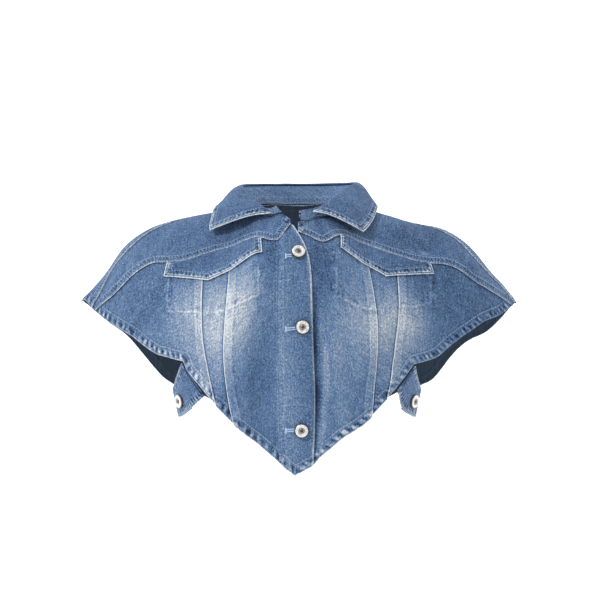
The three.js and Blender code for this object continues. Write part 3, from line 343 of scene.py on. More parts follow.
# Rows of {x, s, half width, half length, wear}: where the cloth is washed lighter or left darker, and where
# shade is painted into the fold beside the placket edge
FADES_AND_SHADE = (
    (-112, 168, 34, 46, 0.19), (-84, 186, 34, 50, 0.22), (-60, 164, 26, 44, 0.31),
    (-96, 218, 24, 34, 0.08), (96, 170, 36, 44, 0.19), (78, 190, 34, 46, 0.17),
    (120, 176, 26, 34, 0.06), (100, 218, 22, 34, 0.05), (-122, 138, 24, 30, 0.17),
    (128, 148, 26, 34, 0.24), (58, 205, 18, 50, 0.06), (60, 300, 26, 44, 0.06), (-4, 335, 16, 60, 0.09),
    (-2, 170, 14, 60, 0.04), (-46, 320, 20, 40, 0.04), (147, 62, 8, 3, 0.22), (-90, 50, 60, 40, -0.03),
    # The four dark rows round x 20, s 205 to 345, are painted shade in the fold between the placket edge and
    # the stand's seam
    (20.5, 205, 2.6, 30, -0.16), (19, 246, 3.2, 26, -0.26), (23, 300, 4.4, 28, -0.26),
    (20, 345, 2.6, 22, -0.12), (27, 222, 3.4, 18, 0.18), (32, 250, 3.8, 20, 0.24),
    (33.5, 282, 3.4, 18, 0.20), (30, 315, 3.6, 22, 0.22), (26.5, 347, 3.4, 18, 0.20),
    (-160, 158, 34, 26, 0.07), (-185, 90, 40, 34, 0.05), (-215, 52, 30, 24, 0.04),
    (-8, 300, 18, 100, 0.05), (-15, 210, 7, 110, 0.08), (-19.5, 240, 2.0, 90, 0.08),
    (48, 250, 14, 60, 0.08), (30, 150, 20, 40, -0.09), (-34, 140, 18, 34, -0.13),
    (-52, 300, 26, 50, 0.01), (170, 110, 44, 44, -0.05), (205, 60, 40, 40, -0.05),
    (130, 45, 60, 30, -0.05), (-104, 236, 18, 22, 0.05), (110, 236, 18, 22, 0.04),
    (-120, 100, 26, 18, -0.04), (120, 98, 26, 18, -0.04), (0, -210, 70, 90, 0.14),
    (-90, -90, 60, 30, 0.05), (90, -90, 60, 30, 0.05),
)


# Numbers through tables

def through(keys, values, at):
    """Values at places along rising or falling keys, with smooth slopes."""
    keys = np.asarray(keys, float)
    values = np.asarray(values, float)
    rising = 1 if keys[-1] > keys[0] else -1
    i = np.clip(np.searchsorted(keys * rising, at * rising, side="left") - 1, 0, len(keys) - 2)
    before = np.maximum(np.arange(len(keys)) - 1, 0)
    after = np.minimum(np.arange(len(keys)) + 1, len(keys) - 1)
    spread = (slice(None),) + (None,) * (values.ndim - 1)
    slopes = (values[after] - values[before]) / (keys[after] - keys[before])[spread]
    width = (keys[i + 1] - keys[i])[spread]
    t = (at - keys[i])[spread] / width
    ease = t * t * (3 - 2 * t)
    start = t * (1 - t) * (1 - t)
    end = t * t * (t - 1)
    smooth = width * (start * slopes[i] + end * slopes[i + 1])
    return values[i] * (1 - ease) + values[i + 1] * ease + smooth


def read(rows, at, column=1):
    """One column of a table at any places along its first column."""
    at = np.asarray(at, float)
    table = np.asarray(rows, float)
    return through(table[:, 0], table[:, column], at.ravel()).reshape(at.shape)


def mix(a, b, share):
    return a + (b - a) * share


def smooth_step(start, end, at):
    t = np.clip((at - start) / (end - start), 0, 1)
    return t * t * (3 - 2 * t)


def bump(distance, centre, width):
    """A soft bell round a distance."""
    return np.exp(-((distance - centre) / width) ** 2)


def lengths(points):
    """Distance travelled along a line of points."""
    steps = np.linalg.norm(np.diff(points, axis=0), axis=-1)
    return np.concatenate([[0], np.cumsum(steps)])


class SpaceCurve:
    """A smooth curve through points in space, even in the parameter from point to point."""

    def __init__(self, rows):
        points = np.asarray(rows, float)
        first = 2 * points[0] - points[1]
        last = 2 * points[-1] - points[-2]
        self.points = np.vstack([first, points, last])
        self.count = len(points)

    def at(self, share):
        place = np.clip(np.asarray(share, float), 0, 1) * (self.count - 1)
        i = np.minimum(place.astype(int), self.count - 2)
        t = (place - i)[:, None]
        a, b, c, d = (self.points[i + k] for k in range(4))
        ab = np.sqrt(np.linalg.norm(b - a, axis=-1, keepdims=True))
        bc = np.sqrt(np.linalg.norm(c - b, axis=-1, keepdims=True))
        cd = np.sqrt(np.linalg.norm(d - c, axis=-1, keepdims=True))
        leave = ((b - a) / ab - (c - a) / (ab + bc) + (c - b) / bc) * bc
        arrive = ((c - b) / bc - (d - b) / (bc + cd) + (d - c) / cd) * bc
        square = 3 * (c - b) - 2 * leave - arrive
        cube = 2 * (b - c) + leave + arrive
        return b + t * (leave + t * (square + t * cube))

    def direction(self, share):
        step = 0.0001
        run = self.at(share + step) - self.at(share - step)
        return run / np.linalg.norm(run, axis=-1, keepdims=True)


# The cloth surface

def fold_height(rows, x, s):
    height = np.zeros_like(x)
    for fold_x, fold_s, lean, length, width, rise in rows:
        cosine = math.cos(math.radians(lean))
        sine = math.sin(math.radians(lean))
        along = (s - fold_s) * cosine + (x - fold_x) * sine
        across = (x - fold_x) * cosine - (s - fold_s) * sine
        height += rise * np.exp(-((along / length) ** 2) - (across / width) ** 2)
    return height


def plain_cloth(x, s):
    """The smooth form under the folds: the fall is walked down from the ridge in short steps."""
    out = np.abs(x)
    back = s < 0
    slope, bend, turn, hang, fall = (
        np.where(back, read(BACK_FALL, out, column), read(FRONT_FALL, out, column)) for column in range(1, 6)
    )
    step = np.abs(s) / FALL_STEPS
    y = np.zeros_like(step)
    z = read(RIDGE, out)
    for i in range(FALL_STEPS):
        at = (i + 0.5) * step
        angle = np.radians(slope * (1 - np.exp(-at / bend)) + (fall - slope) * smooth_step(turn, hang, at))
        y += np.cos(angle) * step
        z -= np.sin(angle) * step
    return np.stack([x, np.where(back, y, -y), z], -1)


def grid_normals(points):
    """Normals of a grid whose first index runs across and whose second runs down."""
    across = np.gradient(points, axis=0)
    up = -np.gradient(points, axis=1)
    normal = np.cross(across, up)
    return normal / np.maximum(np.linalg.norm(normal, axis=-1, keepdims=True), 1e-9)


def ripple(x, s):
    """Small unevenness of worn cloth."""
    flat_x = (x / RIPPLE["across"]).ravel()
    flat_s = (s / RIPPLE["down"]).ravel()
    heights = [noise.noise(Vector((a, b, 0.5))) for a, b in zip(flat_x, flat_s)]
    return np.asarray(heights).reshape(x.shape) * RIPPLE["rise"]


def surface_normal(surface, x, s):
    """Outward normals of a surface at single places."""
    across = surface(x + NORMAL_STEP, s) - surface(x - NORMAL_STEP, s)
    up = surface(x, s - NORMAL_STEP) - surface(x, s + NORMAL_STEP)
    normal = np.cross(across, up)
    return normal / np.linalg.norm(normal, axis=-1, keepdims=True)


def folded_cloth(x, s):
    """Points of the cloth at single places, for the pieces that stand on it."""
    return plain_cloth(x, s) + surface_normal(plain_cloth, x, s) * fold_height(FOLDS, x, s)[..., None]


# Wash fades and the painted shade beside the placket, added up at each place
def fade_and_shade_at(x, s):
    wear_and_shade = np.zeros_like(x)
    for fade_x, fade_s, width, length, amount in FADES_AND_SHADE:
        wear_and_shade += amount * np.exp(-(((x - fade_x) / width) ** 2) - ((s - fade_s) / length) ** 2)
    return wear_and_shade


# Distances from the edges of a piece

def line_field(points, line):
    """Distance of every point to a line, and how far along the line its foot lies."""
    step = max(1, len(line) // LINE_POINTS)
    line = np.concatenate([line[:-1:step], line[-1:]])
    travelled = lengths(line)
    nearest = np.full(points.shape[:-1], 1e6)
    along = np.zeros(points.shape[:-1])
    for k in range(len(line) - 1):
        run = line[k + 1] - line[k]
        square = run @ run
        if square < 1e-8:
            continue
        from_start = points - line[k]
        t = np.clip(from_start @ run / square, 0, 1)
        distance = np.linalg.norm(from_start - t[..., None] * run, axis=-1)
        closer = distance < nearest
        nearest = np.where(closer, distance, nearest)
        along = np.where(closer, travelled[k] + t * math.sqrt(square), along)
    return nearest, along


def border(points, side):
    return {"first": points[0], "last": points[-1], "top": points[:, 0], "bottom": points[:, -1]}[side]


class Field:
    """Nearest distance to all the edges of one kind, with the turns of roping and the wear there."""

    def __init__(self, shape):
        self.distance = np.full(shape, FAR)
        self.turn = np.zeros(shape)
        self.worn = np.zeros(shape)

    def add(self, distance, turn, worn=1.0):
        closer = distance < self.distance
        self.distance = np.where(closer, distance, self.distance)
        self.turn = np.where(closer, turn, self.turn)
        self.worn = np.where(closer, worn, self.worn)


FIELDS = ("hem", "over", "tuck", "crisp", "under", "pocket")


class Edges:
    """The fields of a piece, from roles such as ("hem", 0.5): kind of edge and how worn it is."""

    def __init__(self, points, roles, hem_period):
        self.fields = {kind: Field(points.shape[:2]) for kind in FIELDS}
        self.sides = {}
        for side, role in roles.items():
            kind, worn = role if isinstance(role, tuple) else (role, 1.0)
            line = border(points, side)
            distance, along = line_field(points, line)
            self.sides[side] = distance
            if kind in self.fields:
                travelled = lengths(line)
                period = border(hem_period, side) if kind == "hem" else np.full(len(line), SEAM_PERIOD)
                turns = np.concatenate([[0], np.cumsum(np.diff(travelled) / period[1:])])
                self.fields[kind].add(distance, np.interp(along, travelled, turns), worn)


# Objects

def grid_mesh(name, points, uv, attributes):
    """A grid of quads over points whose first index runs across and whose second runs down."""
    columns = points.shape[0] - 1
    rows = points.shape[1] - 1
    form = bmesh.new()
    bmesh.ops.create_grid(form, x_segments=columns, y_segments=rows, size=0.5)
    mesh = bpy.data.meshes.new(name)
    form.to_mesh(mesh)
    form.free()
    flat = np.empty(len(mesh.vertices) * 3)
    mesh.vertices.foreach_get("co", flat)
    flat = flat.reshape(-1, 3)
    column = np.rint((flat[:, 0] + 0.5) * columns).astype(int)
    row = np.rint((0.5 - flat[:, 1]) * rows).astype(int)
    mesh.vertices.foreach_set("co", (points[column, row] * MM).ravel())
    mesh.polygons.foreach_set("use_smooth", np.ones(len(mesh.polygons), bool))
    corner = np.empty(len(mesh.loops), int)
    mesh.loops.foreach_get("vertex_index", corner)
    layer = mesh.uv_layers.new(name="cloth")
    layer.data.foreach_set("uv", (uv[column, row] * MM)[corner].astype(np.float32).ravel())
    for key, values in attributes.items():
        attribute = mesh.attributes.new(key, "FLOAT", "POINT")
        attribute.data.foreach_set("value", values[column, row].astype(np.float32))
    mesh.update()
    return mesh


def add_object(name, mesh, *materials):
    piece = bpy.data.objects.new(name, mesh)
    for material in materials:
        mesh.materials.append(material)
    bpy.context.scene.collection.objects.link(piece)
    return piece


def cloth_piece(name, node, points, uv, edges, fade, crest, cloth):
    attributes = {kind: field.distance for kind, field in edges.fields.items()}
    for kind in ("hem", "over"):
        attributes[f"{kind}_turn"] = edges.fields[kind].turn
        attributes[f"{kind}_worn"] = edges.fields[kind].worn
    # This attribute carries the wash fades and the painted shade beside the placket to the denim finish
    attributes.update(fade=fade, crest=crest)
    mesh = grid_mesh(name, points, uv, attributes)
    piece = add_object(name, mesh, material("denim"), material("denim_inside_shaded"))
    shell = piece.modifiers.new("cloth", "SOLIDIFY")
    shell.thickness = cloth * MM
    shell.offset = -1
    shell.material_offset = 0 if cloth > PANEL_CLOTH else 1
    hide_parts(node)
    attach(piece, "root")
    width = max(np.linalg.norm(np.diff(points, axis=0), axis=-1).sum(0)) * MM
    length = max(np.linalg.norm(np.diff(points, axis=1), axis=-1).sum(1)) * MM
    across = np.diff(points, axis=0)[:, :-1]
    down = np.diff(points, axis=1)[:-1]
    area = np.linalg.norm(np.cross(across, down), axis=-1).sum() * MM * MM
    area = min(area, width * length)


MATERIALS = {}


def material(name):
    return MATERIALS[name]


class Panel:
    """A piece that lies on the cloth surface, on a grid of places."""

    def __init__(self, name, places, roles, face=PANEL_FACE, cloth=PANEL_CLOTH, held="hung", rests_on=(),
                 hem_period=None, lines=(), dives=(), fade=0.0):
        runs_down = places[0, 0, 1] < places[0, -1, 1]
        if not runs_down:
            places = places[:, ::-1]
            swap = {"top": "bottom", "bottom": "top"}
            roles = {swap.get(side, side): role for side, role in roles.items()}
        self.name = name
        x, s = places[..., 0], places[..., 1]
        plain = plain_cloth(x, s)
        folds = fold_height(FOLDS, x, s)
        crest = fold_height(CREASES, x, s) + ripple(x, s)
        base = plain + grid_normals(plain) * (folds + crest)[..., None]
        if hem_period is None:
            wing = np.where(x < 0, WING_HEM_PERIOD["right"], WING_HEM_PERIOD["left"])
            hem_period = mix(VEE_HEM_PERIOD, wing, smooth_step(*WING_ROPING, np.abs(x)))
        edges = Edges(base, roles, np.full(x.shape, 1.0) * hem_period)
        for line in lines:
            rows = np.asarray(line, float)
            at = np.linspace(0, len(rows) - 1, POCKET_POINTS)
            fine_x, fine_s = (np.interp(at, range(len(rows)), column) for column in rows.T)
            edges.fields["pocket"].add(*line_field(base, folded_cloth(fine_x, fine_s)))
        height = face + relief(edges, cloth)
        for side, low, reach in dives:
            height = height + (low - face) * (1 - smooth_step(0, reach, edges.sides[side]))
        self.points = base + grid_normals(base) * height[..., None]
        self.normals = grid_normals(self.points)
        self.sides = edges.sides
        uv = np.stack([x, -s], -1)
        cloth_piece(f"cloth_{name}", name, self.points, uv, edges, fade_and_shade_at(x, s) + fade, folds * 0.5 + crest,
                    cloth)


def roped(field, turn, roping):
    """Waves that run askew over a turning."""
    wave = np.sin(turn * field.turn + roping["slant"] * field.distance)
    return roping["height"] * wave * bump(field.distance, roping["distance"], roping["width"])


def relief(edges, cloth):
    """Height of turnings, laps and roping over the plain outer face."""
    fields = edges.fields
    turned = HEM_RAISED["double" if cloth > PANEL_CLOTH else "panel"]
    height = np.zeros_like(fields["hem"].distance)
    for kind, full, none, rise in (*RAISED, ("hem", HEM_WIDTH - HEM_EASE, HEM_WIDTH, turned)):
        height += rise * smooth_step(none, full, fields[kind].distance)
    for kind, reach, depth in ROUNDED:
        height -= depth * np.clip(1 - fields[kind].distance / reach, 0, 1) ** 2
    height += roped(fields["hem"], 2 * np.pi, HEM_ROPING)
    height += roped(fields["over"], np.pi, SEAM_ROPING) * fields["over"].worn
    height += POCKET_RISE["height"] * bump(fields["pocket"].distance, 0, POCKET_RISE["width"])
    return height


def shares(length, first=True, last=True):
    """Shares of a length for the lines of a grid, closer together beside its edges."""
    count = max(2, math.ceil(length / CELL))
    share = list(np.linspace(0, 1, count + 1))
    for step in EDGE_STEPS:
        if step < 0.8 * length / count:
            if first:
                share.append(step / length)
            if last:
                share.append(1 - step / length)
    return np.array(sorted(share))


def on(rows, x):
    x = np.asarray(x, float)
    return np.stack([x, read(rows, x)], -1)


def stretch(rows, start, end):
    return lambda share: on(rows, mix(start, end, share))


def line_length(line):
    places = line(np.linspace(0, 1, 9))
    return lengths(plain_cloth(places[:, 0], places[:, 1]))[-1]


def flipped(line):
    return lambda share: line(1 - share)


def chain(cells, uppers, upper_stops, lowers, lower_stops):
    """Stretches of a panel from stop to stop, each between a stretch of two seam lines."""
    ways = zip(cells, uppers, upper_stops, upper_stops[1:], lowers, lower_stops, lower_stops[1:])
    return [(count, stretch(upper, a, b), stretch(lower, c, d)) for count, upper, a, b, lower, c, d in ways]


def panel_places(stretches, bow=(None, None), drop=0.0, rise=0.0):
    """Places of a panel between its upper and lower edge, stretch by stretch towards +x.

    drop and rise move the lower and the upper edge outwards, bow holds how far each side edge swings.
    """
    if stretches[0][1](0.0)[0] > stretches[-1][1](1.0)[0]:
        stretches = [(cells, flipped(upper), flipped(lower)) for cells, upper, lower in reversed(stretches)]
    total = sum(cells for cells, _, _ in stretches)
    tops, bottoms, ways_across = [], [], []
    count = 0
    for k, (cells, upper, lower) in enumerate(stretches):
        last = k == len(stretches) - 1
        share = shares(max(line_length(upper), line_length(lower)), k == 0, last)
        if not last:
            share = share[:-1]
        tops.append(upper(share))
        bottoms.append(lower(share))
        ways_across.append((count + share * cells) / total)
        count += cells
    top = np.concatenate(tops)
    bottom = np.concatenate(bottoms)
    across = np.concatenate(ways_across)
    sample = mix(top[:, None], bottom[:, None], np.linspace(0, 1, 6)[None, :, None])
    walked = plain_cloth(sample[..., 0], sample[..., 1])
    longest = np.linalg.norm(np.diff(walked, axis=1), axis=-1).sum(1).max()
    way = shares(longest)
    places = mix(top[:, None], bottom[:, None], way[None, :, None])
    for weight, swing in ((1 - across, bow[0]), (across, bow[1])):
        if swing is not None:
            places[..., 0] += weight[:, None] * swing(way)[None]
    down = np.sign(bottom[:, 1] - top[:, 1]).mean()
    places[..., 1] += math.copysign(1, down) * (way * drop - (1 - way) * rise)[None]
    return places


def swing_of(rows, extra=0.0):
    """How far a tuck swings from the straight line between its ends."""
    first = rows[0][1]
    last = rows[-1][1]
    return lambda way: read(rows, way) - mix(first, last, way) + extra


# Front panels

PANELS = {}


def add_front(side):
    yoke, hem = YOKE[side], HEM[side]
    inner, outer = TUCK[side]["inner"], TUCK[side]["outer"]
    seam = PLACKET_SEAM if side == "right" else STAND_SEAM
    sign = -1 if side == "right" else 1
    centre_top, centre_bottom = seam[0][1], seam[-1][1]
    inner_top, inner_bottom = inner[0][1], inner[-1][1]
    outer_top, outer_bottom = outer[0][1], outer[-1][1]
    stops = YOKE_STOPS[side]
    side_stop = mix(outer_top, stops["chest"], SIDE_STOP)
    tip, notch, side_end = hem["wing"][0][0], hem["side"][0][0], hem["vee"][0][0]
    wing_start = mix(notch, WING_STOP[side], WING_STOP_EASE)
    tip_start = mix(WING_STOP[side], tip, WING_STOP_EASE)
    top_s = float(read(yoke, centre_top))
    bottom_s = float(read(hem["vee"], centre_bottom))

    def seam_swing(way):
        return read(seam, mix(top_s, bottom_s, way)) - mix(centre_top, centre_bottom, way)

    def bow(near_centre, outwards):
        return (outwards, near_centre) if side == "right" else (near_centre, outwards)

    def named(near_centre, outwards):
        ends = ("last", "first") if side == "right" else ("first", "last")
        return {ends[0]: near_centre, ends[1]: outwards, "top": "under", "bottom": ("hem", 0.5)}

    lines = POCKET_LINES[side]
    centre = chain(
        (CELLS["centre"],), [yoke], (centre_top, inner_top), [hem["vee"]], (centre_bottom, inner_bottom))
    PANELS[f"front_centre_{side}"] = Panel(
        f"front_centre_{side}", panel_places(centre, bow(seam_swing, swing_of(inner, sign * LAP))),
        named("root", "tuck"), lines=lines)
    middle = chain(
        (CELLS["middle"],), [yoke], (inner_top, outer_top), [hem["vee"]], (inner_bottom, outer_bottom))
    PANELS[f"front_middle_{side}"] = Panel(
        f"front_middle_{side}", panel_places(middle, bow(swing_of(inner), swing_of(outer))),
        named("under", "under"), lines=lines)
    wing_cells = (1, CELLS["underArm"], CELLS["chest"], CELLS["wing"], CELLS["tip"])
    wing_stops = (outer_top, side_stop, stops["chest"], stops["underArm"], stops["wing"], stops["tip"])
    hem_stops = (outer_bottom, side_end, notch, wing_start, tip_start, tip)
    wing = chain(
        wing_cells, [yoke] * len(wing_cells), wing_stops,
        [hem["vee"], hem["side"], hem["wing"], hem["wing"], hem["wing"]], hem_stops)
    PANELS[f"front_side_{side}"] = Panel(
        f"front_side_{side}", panel_places(wing, bow(swing_of(outer, -sign * LAP), None)),
        {**named("tuck", None), "bottom": ("hem", WING_WEAR[side])}, lines=lines)

    neck, shoulder = NECK[side], SHOULDER[side]
    yoke_cells = (YOKE_FRONT_CELLS, CELLS["centre"] - 1, 1, CELLS["middle"], *wing_cells)
    yoke_stops = (neck[0][0], centre_top, neck[-1][0], inner_top, *wing_stops)
    yoke_piece = chain(
        yoke_cells, [neck, neck] + [shoulder] * (len(yoke_cells) - 2), (*yoke_stops[:-1], shoulder[-1][0]),
        [yoke] * len(yoke_cells), yoke_stops)
    roles = named(("hem", 0.3), None)
    roles["bottom"] = "over"
    roles["top"] = "under"
    PANELS[f"front_yoke_{side}"] = Panel(f"front_yoke_{side}", panel_places(yoke_piece, drop=LAP), roles)


def back_stops(side):
    """Stops of the back yoke seam, from the neck out to the wing tip."""
    stops = YOKE_STOPS[side]
    tip = BACK_YOKE[0][0] if side == "right" else BACK_YOKE[-1][0]
    tucks = TUCK[side]["inner"][0][1], TUCK[side]["outer"][0][1]
    return (SHOULDER[side][0][0], *tucks, stops["chest"], stops["underArm"], stops["wing"], tip)


def tip_swing(side, way):
    """The wing's point is sharpest where its edge crosses the ridge."""
    front = SHOULDER[side][-1][1]
    back = BACK_YOKE[0][1] if side == "right" else BACK_YOKE[-1][1]
    ridge = front / (front - back)
    return TIP_SWING[side] * np.minimum(way / ridge, (1 - way) / (1 - ridge))


def back_vee(start, end):
    """A stretch of the back's pointed hem, across its point."""
    def line(share):
        x = np.asarray(mix(start, end, share), float)
        s = np.where(x < 0, read(BACK_HEM["right"]["vee"], x), read(BACK_HEM["left"]["vee"], x))
        return np.stack([x, s], -1)
    return line


def add_back():
    stops = {side: back_stops(side) for side in SIDES}
    cells = (1, CELLS["middle"], 1 + CELLS["underArm"], CELLS["chest"], CELLS["wing"], CELLS["tip"])
    neck_stop = BACK_SEAM_BOTTOM - 2 * BACK_SEAM_BOTTOM / (BACK_NECK_CELLS + 2)
    seam_stops = (stops["right"][1], stops["right"][0], stops["left"][0], stops["left"][1])
    foot_stops = (-BACK_SEAM_BOTTOM, -neck_stop, neck_stop, BACK_SEAM_BOTTOM)
    centre_ways = zip((1, BACK_NECK_CELLS, 1), seam_stops, seam_stops[1:], foot_stops, foot_stops[1:])
    centre = [(count, stretch(BACK_YOKE, a, b), back_vee(c, d)) for count, a, b, c, d in centre_ways]
    widen = (lambda way: -LAP + 0 * way, lambda way: LAP + 0 * way)
    PANELS["back_centre"] = Panel(
        "back_centre", panel_places(centre, widen),
        {"first": "over", "last": "over", "top": "under", "bottom": ("hem", 0.5)})
    for side in SIDES:
        hem = BACK_HEM[side]
        tip, notch, side_end = hem["wing"][0][0], hem["side"][0][0], hem["vee"][0][0]
        seam_bottom = math.copysign(BACK_SEAM_BOTTOM, tip)
        vee_stop = mix(seam_bottom, side_end, BACK_VEE_STOP)
        wing_stop = mix(notch, tip, BACK_WING_STOP)
        stretches = chain(
            cells[1:], [BACK_YOKE] * len(cells[1:]), stops[side][1:],
            [hem["vee"], hem["vee"], hem["side"], hem["wing"], hem["wing"]],
            (seam_bottom, vee_stop, side_end, notch, wing_stop, tip))
        near = "last" if side == "right" else "first"
        PANELS[f"back_side_{side}"] = Panel(
            f"back_side_{side}", panel_places(stretches),
            {near: "under", "top": "under", "bottom": ("hem", 0.5)})

    lower = (*reversed(stops["right"]), *stops["left"])
    upper = (SHOULDER["right"][-1][0], *lower[1:-1], SHOULDER["left"][-1][0])
    yoke_cells = (*reversed(cells), BACK_NECK_CELLS, *cells)
    uppers = [SHOULDER["right"]] * len(cells) + [BACK_NECK] + [SHOULDER["left"]] * len(cells)
    yoke = chain(yoke_cells, uppers, upper, [BACK_YOKE] * len(yoke_cells), lower)
    bow = (lambda way: -tip_swing("right", way), lambda way: tip_swing("left", way))
    PANELS["back_yoke"] = Panel(
        "back_yoke", panel_places(yoke, bow, drop=LAP, rise=LAP),
        {"first": ("hem", 0.4), "last": ("hem", 0.4), "top": "over", "bottom": "over"})


# Placket, button stand and flaps

def placket_places():
    hem = HEM["right"]["vee"]
    corner_x = PLACKET_SEAM[-1][1] - PLACKET_LAP
    corner = (corner_x, float(read(hem, corner_x)))
    point = hem[-1]
    edge_end_s, edge_end_x = PLACKET_EDGE[-1]
    start_s = PLACKET_SEAM[0][0]
    width = PLACKET_EDGE[-1][1] - corner_x
    across = np.unique(np.concatenate([shares(width), PLACKET_COLUMNS]))
    count = len(PLACKET_COLUMNS) - 1
    index = np.interp(across, PLACKET_COLUMNS, range(count + 1))
    x_before = mix(corner[0], point[0], index / POINT_COLUMN)
    x_after = mix(point[0], edge_end_x, (index - POINT_COLUMN) / (count - POINT_COLUMN))
    on_hem_x = np.where(index <= POINT_COLUMN, x_before, x_after)
    on_hem_s = np.where(index <= POINT_COLUMN, read(hem, x_before), read(HEM["left"]["vee"], x_after))
    way = shares(FRONT_DOWN)
    blend = way ** POINT_BLEND
    seam_s = mix(start_s, corner[1], way)
    edge_s = mix(PLACKET_EDGE[0][0], edge_end_s, way)
    seam_x = read(PLACKET_SEAM, seam_s) - PLACKET_LAP
    edge_x = read(PLACKET_EDGE, edge_s)
    share = across[:, None]
    to_hem_x = on_hem_x[:, None] - mix(corner[0], edge_end_x, share)
    to_hem_s = on_hem_s[:, None] - mix(corner[1], edge_end_s, share)
    x = mix(seam_x[None], edge_x[None], share) + blend[None] * to_hem_x
    s = mix(seam_s[None], edge_s[None], share) + blend[None] * to_hem_s
    return np.stack([x, s], -1)


def stand_places():
    top_x, bottom_x = STAND_SEAM[0][1], STAND_SEAM[-1][1]
    top_s = float(read(YOKE["left"], top_x))
    bottom_s = float(read(HEM["left"]["vee"], bottom_x))
    hidden_top = float(read(YOKE["left"], STAND_TOP_X))
    hidden_bottom = float(read(HEM["right"]["vee"], STAND_REACH)) - STAND_SHORT
    way = shares(FRONT_DOWN)
    share = shares(STAND_ACROSS)[:, None]
    seam_s = mix(top_s, bottom_s, way)
    seam_x = read(STAND_SEAM, seam_s) + LAP
    hidden_x = mix(STAND_TOP_X, STAND_REACH, smooth_step(0, STAND_WIDENS, way))
    hidden_s = mix(hidden_top, hidden_bottom, way)
    x = mix(hidden_x[None], seam_x[None], share)
    s = mix(hidden_s[None], seam_s[None], share)
    foot_x = x[:, -1:]
    shortened = smooth_step(STAND_SHORTENS["from"], STAND_SHORTENS["to"], foot_x)
    on_hem = read(HEM["left"]["vee"], foot_x) - STAND_SHORT * shortened
    s = s + way ** POINT_BLEND * np.where(foot_x > 0, on_hem - s[:, -1:], 0)
    return np.stack([x, s], -1)


def add_flap(side):
    flap, yoke = FLAP[side], YOKE[side]

    def upper(start, end):
        def line(share):
            x = np.asarray(mix(start, end, share), float)
            return np.stack([x, read(yoke, x) + FLAP_DROP], -1)
        return line

    def lower(a, b, raised=0.0):
        a, b = np.asarray(a, float), np.asarray(b, float)

        def line(share):
            share = np.asarray(share, float)
            places = mix(a, b, share[..., None])
            places[..., 1] -= raised * np.sin(np.pi * share)
            return places
        return line

    inner, point, outer = flap["corners"]
    middle = mix(flap["from"], flap["to"], (point[0] - inner[0]) / (outer[0] - inner[0]))
    stretches = [
        (FLAP_CELLS, upper(flap["from"], middle), lower(inner, point, flap["lift"])),
        (FLAP_CELLS, upper(middle, flap["to"]), lower(point, outer)),
    ]
    PANELS[f"pocket_flap_{side}"] = Panel(
        f"pocket_flap_{side}", panel_places(stretches, rise=FLAP_TUCK),
        {"first": "hem", "last": "hem", "bottom": "hem", "top": "root"},
        face=UPPER_FACE - 0.3, cloth=DOUBLE_CLOTH, held="laid",
        rests_on=(f"front_centre_{side}", f"front_middle_{side}", f"front_side_{side}"),
        hem_period=5.0, dives=(("top", 0.2, 6.0),), fade=-0.05)


# Collar, stand and tabs: ribbons between curves in space

class Ribbon:
    """A piece on a grid of points in space, with its outer face on the side of its normals."""

    def __init__(self, node, points, roles, face, cloth, held, rests_on, hem_period, creases=(), fade=0.0):
        normal = grid_normals(points)
        shape = points.shape[:2]
        edges = Edges(points, roles, np.full(shape, hem_period))
        self.sides = edges.sides
        across = lengths(points[:, points.shape[1] // 2])[:, None] * np.ones(shape)
        walked = np.cumsum(np.linalg.norm(np.diff(points, axis=1), axis=-1), axis=1)
        down = np.pad(walked, ((0, 0), (1, 0)))
        crest = fold_height(creases, across, down) + ripple(across + RIPPLE["ribbons_from"], down)
        height = face + relief(edges, cloth) + crest
        self.points = points + normal * height[..., None]
        self.normals = grid_normals(self.points)
        uv = np.stack([across, -down], -1)
        cloth_piece(f"cloth_{node}", node, self.points, uv, edges, np.full(shape, fade), crest, cloth)


def curve_shares(curve, end_lines):
    """Shares of a curve for the lines of a grid, with closer ones at its ends."""
    count = 2 + math.ceil(lengths(curve.at(np.linspace(0, 1, CURVE_SAMPLES)))[-1] / CELL)
    return np.unique(np.concatenate([np.linspace(0, 1, count), end_lines]))


def away_from_neck(roll, share):
    run = roll.direction(share)
    away = np.stack([-run[:, 1], run[:, 0], np.zeros(len(run))], -1)
    return away / np.linalg.norm(away, axis=-1, keepdims=True)


# Rows of {along, down, lean, length, width, rise}: creases of the ribbons
LEAF_CREASES = (
    (40, 20, 20, 16, 5, 0.8), (95, 24, -14, 18, 6, -0.8), (150, 22, 8, 18, 7, 0.7),
    (235, 20, -12, 18, 6, -0.7), (320, 24, 14, 18, 6, 0.8), (372, 22, -20, 16, 5, -0.8),
)


def add_collar_leaf():
    roll, edge = SpaceCurve(ROLL), SpaceCurve(LEAF_EDGE)
    share = curve_shares(edge, LEAF_END_LINES)[::-1]
    inner, outer, away = roll.at(share), edge.at(share), away_from_neck(roll, share)
    rows = np.array([
        mix(inner, outer, way) + away * out + np.array([0, 0, up]) for out, up, way in LEAF_PROFILE
    ])
    keys = np.linalg.norm(np.diff(rows, axis=0), axis=-1).mean(1)
    keys = np.concatenate([[0], np.cumsum(keys)])
    at = shares(keys[-1]) * keys[-1]
    points = through(keys, rows, at).transpose(1, 0, 2)
    PANELS["collar_leaf"] = Ribbon(
        "collar_leaf", points, {"first": "hem", "last": "hem", "bottom": "hem", "top": "root"},
        LEAF_CLOTH / 2, LEAF_CLOTH, "folded", ("collar_stand",), 5.4, LEAF_CREASES, fade=-0.07)


def neck_seam():
    right, left = STAND_END["right"], STAND_END["left"]
    places = [right["foot"]]
    places += [row for row in NECK["right"] if row[0] < right["foot"][0] - STAND_END_ROOM]
    places += list(BACK_NECK[1:-1])
    places += [row for row in reversed(NECK["left"]) if row[0] > left["foot"][0] + STAND_END_ROOM]
    places.append(left["foot"])
    places = np.asarray(places, float)
    return SpaceCurve(folded_cloth(places[:, 0], places[:, 1]) + np.array([0, 0, STAND_FOOT]))


